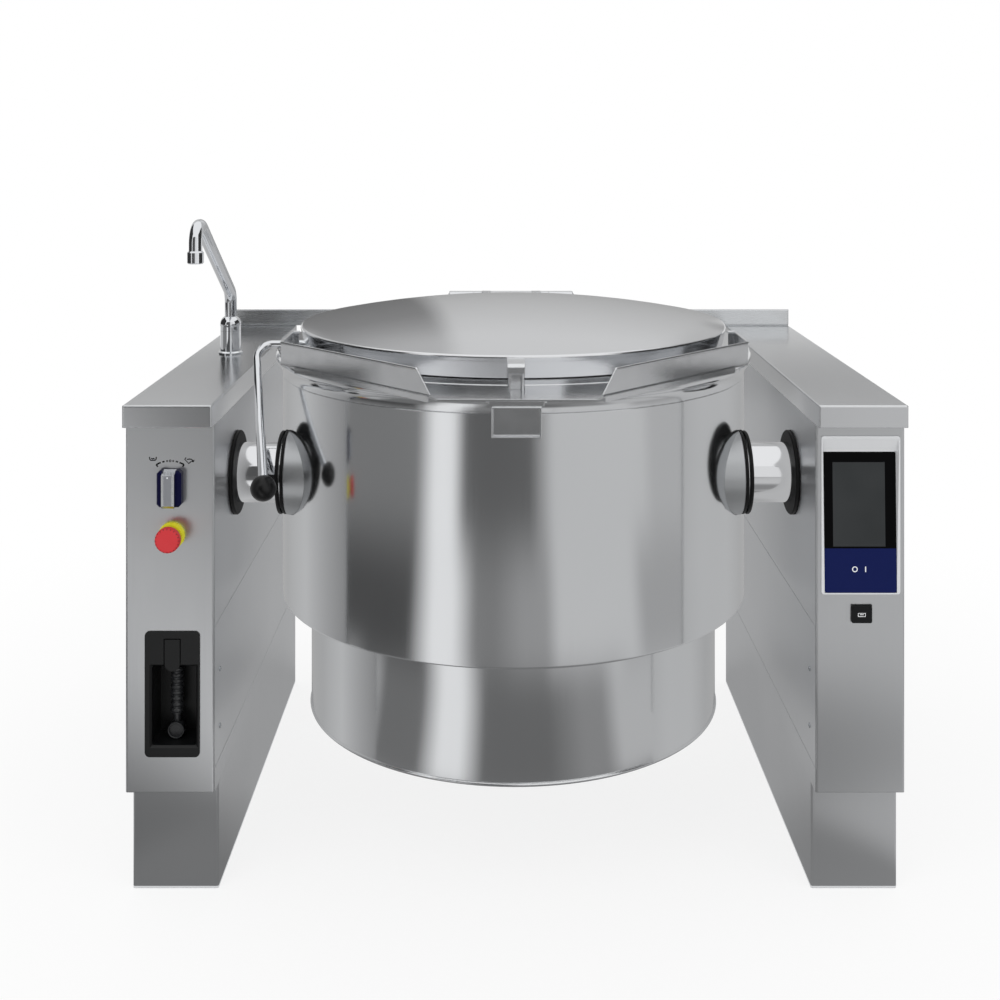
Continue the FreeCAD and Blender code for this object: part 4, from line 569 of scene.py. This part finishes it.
def card(name, corners, bands, way, shares):
    """A painted card that only glossy rays see, and only from its front. Corners come in fours, in metres.

    Each band lists its greys against a place along the card, from 0 to 1. Two functions build on the
    card's axes: way gives that place, and shares how far each band has given way to the next.
    """
    mesh = bpy.data.meshes.new(name)
    mesh.from_pydata(corners, [], [list(range(4 * i, 4 * i + 4)) for i in range(len(corners) // 4)])
    piece = bpy.data.objects.new(name, mesh)
    bpy.context.scene.collection.objects.link(piece)
    material = bpy.data.materials.new(name)
    material.use_nodes = True
    material.node_tree.nodes.clear()
    place = add(material, "ShaderNodeTexCoord")
    axis = add(material, "ShaderNodeSeparateXYZ", links={"Vector": place.outputs["Object"]})
    along = way(material, axis)
    paint = None
    for band, share in zip(bands, [None] + shares(material, axis)):
        ramp = add(material, "ShaderNodeValToRGB", links={"Fac": along})
        stops = ramp.color_ramp.elements
        while len(stops) < len(band):
            stops.new(1.0)
        for stop, (at, level) in zip(stops, band):
            stop.position = at
            stop.color = (level, level, level, 1.0)
        if share is None:
            paint = ramp.outputs["Color"]
        else:
            paint = add(material, "ShaderNodeMix", None,
                        {"Factor": share, "A": paint, "B": ramp.outputs["Color"]},
                        data_type="RGBA").outputs["Result"]
    glow = add(material, "ShaderNodeEmission", None, {"Color": paint})
    clear = add(material, "ShaderNodeBsdfTransparent")
    side = add(material, "ShaderNodeNewGeometry")
    sheet = add(material, "ShaderNodeMixShader", None,
                {0: side.outputs["Backfacing"], 1: glow.outputs[0], 2: clear.outputs[0]})
    add(material, "ShaderNodeOutputMaterial", None, {"Surface": sheet.outputs[0]})
    mesh.materials.append(material)
    piece.visible_camera = False
    piece.visible_diffuse = False
    piece.visible_shadow = False
    piece.visible_transmission = False


def gone_through(material, source, steps, **settings):
    """How far a value has gone through each of the steps, from 0 to 1."""
    return [add(material, "ShaderNodeMapRange", {"From Min": low, "From Max": high}, {"Value": source},
                **settings).outputs["Result"] for low, high in steps]


def ground_place(material, axis):
    """The place on the ground under a point."""
    return add(material, "ShaderNodeCombineXYZ", None,
               {"X": axis.outputs["X"], "Y": axis.outputs["Y"]}).outputs["Vector"]


def floor_card():
    """Greys on the floor round the unit, by bearing: 0 degrees is the front, and + is the right.

    Each ring is a row of sheets, from one bearing to another, with a soft edge between neighbours: dark
    on the left, a white strip, dark in front and light on the right. The drum shows them as upright
    bands, with the far ring at its head and the near one on the skirt.
    """
    close = ((-180, -95, 0.42), (-65, -40, 0.23), (-25, 40, 0.24), (65, 70, 0.30), (95, 180, 0.42))
    near = ((-180, -70, 0.54), (-62, -42, 0.18), (-32, -23, 0.92), (-13, 15, 0.16), (30, 40, 0.28),
            (48, 180, 0.53))
    middle = ((-180, -86, 0.52), (-79, -44, 0.08), (-34, -25, 0.94), (-16, -8, 0.24), (3, 13, 0.36),
              (18, 50, 0.62), (56, 77, 0.41), (85, 180, 0.53))
    far = ((-180, -92, 0.56), (-80, -43, 0.22), (-35, -27, 0.96), (-21, 7, 0.13), (17, 58, 0.61),
           (64, 88, 0.51), (94, 180, 0.56))
    bands = [[((bearing + 180) / 360, level) for *ends, level in ring for bearing in ends]
             for ring in (close, near, middle, far)]
    ring_changes = ((0.80, 0.90), (1.25, 1.8), (2.1, 3.2))
    inner_rim, outer_rim = 0.2, 9.0
    above_paper = 0.004
    sectors = 36

    def way(material, axis):
        back = add(material, "ShaderNodeMath", {1: -1.0}, {0: axis.outputs["Y"]}, operation="MULTIPLY")
        turn = add(material, "ShaderNodeMath", None, {0: axis.outputs["X"], 1: back.outputs[0]},
                   operation="ARCTAN2")
        return gone_through(material, turn.outputs[0], [(-math.pi, math.pi)])[0]

    def shares(material, axis):
        reach = add(material, "ShaderNodeVectorMath", None, {0: ground_place(material, axis)},
                    operation="LENGTH")
        return gone_through(material, reach.outputs["Value"], ring_changes, interpolation_type="SMOOTHSTEP")

    turns = [math.radians(360 / sectors * i) for i in range(sectors + 1)]
    inner, outer = [[Vector((rim * math.sin(t), -rim * math.cos(t), above_paper)) for t in turns]
                    for rim in (inner_rim, outer_rim)]
    corners = []
    for i in range(sectors):
        corners += [outer[i], outer[i + 1], inner[i + 1], inner[i]]
    card("floor_card", corners, bands, way, shares)


def wall_card():
    """Greys on a wall behind the unit, by height: left cap, left and right of the lid, right cap."""
    cap_left = ((1.45, 0.82), (1.54, 0.28), (1.62, 0.30), (1.75, 0.42), (1.95, 0.60))
    lid_left = ((1.0, 0.18), (2.2, 0.25), (2.7, 0.34), (3.4, 0.53))
    lid_right = ((1.0, 0.42), (1.8, 0.53), (3.2, 0.71))
    cap_right = ((1.45, 0.78), (1.58, 0.34), (1.70, 0.28), (1.95, 0.54))
    foot, head = 1.0, 4.0
    bands = [[((height - foot) / (head - foot), level) for height, level in zone]
             for zone in (cap_left, lid_left, lid_right, cap_right)]
    zone_changes = ((-1.45, -1.3), (-0.56, -0.40), (1.25, 1.4))
    wall_y, wall_half, wall_height = 4.2, 6.0, 6.0

    def way(material, axis):
        return gone_through(material, axis.outputs["Z"], [(foot, head)])[0]

    def shares(material, axis):
        return gone_through(material, axis.outputs["X"], zone_changes)

    corners = [Vector((x, wall_y, z)) for x, z in ((-wall_half, 0), (wall_half, 0),
                                                   (wall_half, wall_height), (-wall_half, wall_height))]
    card("wall_card", corners, bands, way, shares)


def upright_card(name, start, end, low, high, band):
    """An upright card between two points of the floor, with its greys by the share of its width."""
    run = Vector((end[0] - start[0], end[1] - start[1], 0))

    def way(material, axis):
        part = add(material, "ShaderNodeVectorMath", {1: run / run.length_squared},
                   {0: ground_place(material, axis)}, operation="DOT_PRODUCT")
        offset = run.x * start[0] + run.y * start[1]
        return add(material, "ShaderNodeMath", {1: offset / run.length_squared}, {0: part.outputs["Value"]},
                   operation="SUBTRACT").outputs[0]

    corners = [Vector((*start, low)), Vector((*end, low)), Vector((*end, high)), Vector((*start, high))]
    card(name, corners, [band], way, lambda material, axis: [])


floor_card()
wall_card()
# Dark on the left and light on the right, over the far edge of the floor: what the column heads show
upright_card("front_card", (8, -8.9), (-8, -8.9), 0.0, 7.0,
             ((0.0, 0.9), (0.46, 0.85), (0.54, 0.10), (1.0, 0.10)))
# Black flags at both sides, which give chromium its dark edges
flag_x, flag_half = 3.6, 2.6
black = ((0.0, 0.04), (1.0, 0.04))
upright_card("flag_left", (-flag_x, -flag_half), (-flag_x, flag_half), 0.6, 4.5, black)
upright_card("flag_right", (flag_x, flag_half), (flag_x, -flag_half), 0.6, 4.5, black)
# Pale strips along both inner panels, which keep the ends of the drum light
strip_x, strip_front, strip_back = inner_x * mm - 0.003, -0.37, 0.5
upright_card("strip_left", (-strip_x, strip_front), (-strip_x, strip_back), 0.10, 0.89,
             ((0.0, 0.30), (0.10, 0.42), (0.22, 0.58), (0.4, 0.45), (1.0, 0.40)))
upright_card("strip_right", (strip_x, strip_back), (strip_x, strip_front), 0.10, 0.89,
             ((0.0, 0.40), (0.6, 0.45), (0.75, 0.55), (0.9, 0.56), (1.0, 0.52)))


def seen_plainly(material):
    """1 for rays of the camera, of gloss and through glass, which see the background as plain white."""
    path = add(material, "ShaderNodeLightPath")
    seen = path.outputs["Is Camera Ray"]
    for ray in ("Is Glossy Ray", "Is Transmission Ray"):
        seen = add(material, "ShaderNodeMath", None, {0: seen, 1: path.outputs[ray]},
                   operation="MAXIMUM").outputs[0]
    return seen


def paper_floor():
    """White paper. Far from the unit the camera sees it as plain white; near it, it keeps a shadow."""
    bpy.ops.object.select_all(action="DESELECT")
    bpy.ops.mesh.primitive_plane_add(size=80, location=(0, 0, 0))
    floor = bpy.context.object
    floor.name = "paper_floor"
    material = bpy.data.materials.new("white_paper")
    material.use_nodes = True
    material.node_tree.nodes.clear()
    place = add(material, "ShaderNodeTexCoord")
    reach = add(material, "ShaderNodeVectorMath", None, {0: place.outputs["Object"]}, operation="LENGTH")
    fade = add(material, "ShaderNodeMapRange",
               {"From Min": 0.9, "From Max": 2.4, "To Min": 0.82, "To Max": 1.0},
               {"Value": reach.outputs["Value"]}, interpolation_type="SMOOTHSTEP")
    share = add(material, "ShaderNodeMath", None, {0: seen_plainly(material), 1: fade.outputs["Result"]},
                operation="MULTIPLY")
    paper = add(material, "ShaderNodeBsdfDiffuse", {"Color": linear("#fcfcfc")})
    glow = add(material, "ShaderNodeEmission", {"Color": [1, 1, 1, 1], "Strength": 1.0})
    both = add(material, "ShaderNodeMixShader", None,
               {0: share.outputs[0], 1: paper.outputs[0], 2: glow.outputs[0]})
    add(material, "ShaderNodeOutputMaterial", None, {"Surface": both.outputs[0]})
    floor.data.materials.append(material)


def soft_light():
    """An even white room, with two large soft lamps in front."""
    world = bpy.data.worlds.new("white_room")
    bpy.context.scene.world = world
    world.use_nodes = True
    world.node_tree.nodes.clear()
    level = add(world, "ShaderNodeMapRange", {"To Min": 0.85, "To Max": 1.0},
                {"Value": seen_plainly(world)})
    air = add(world, "ShaderNodeBackground", {"Color": [1, 1, 1, 1]}, {"Strength": level.outputs["Result"]})
    add(world, "ShaderNodeOutputWorld", None, {"Surface": air.outputs[0]})
    for name, place, size, power in (("key_lamp", (-2.2, -3.0, 3.4), 2.4, 28),
                                     ("fill_lamp", (2.6, -2.6, 2.6), 2.4, 14)):
        light = bpy.data.lights.new(name, "AREA")
        light.size = size
        light.energy = power
        lamp = bpy.data.objects.new(name, light)
        lamp.location = place
        aim = Vector((0, 0, 0.6)) - Vector(place)
        lamp.rotation_euler = aim.to_track_quat("-Z", "Y").to_euler()
        lamp.visible_glossy = False
        bpy.context.scene.collection.objects.link(lamp)


paper_floor()
soft_light()

# Camera: level and square to the front, with the rise of a view camera
camera = bpy.data.cameras.new("camera")
camera.lens = 48.24
camera.sensor_width = 36.0
camera.shift_x = 0.00055
camera.shift_y = -0.3668
viewer = bpy.data.objects.new("camera", camera)
viewer.location = (-0.0281, -2.783, 1.3842)
viewer.rotation_euler = (math.radians(90), 0, 0)
bpy.context.scene.collection.objects.link(viewer)
bpy.context.scene.camera = viewer
bpy.context.scene.view_settings.view_transform = "Standard"
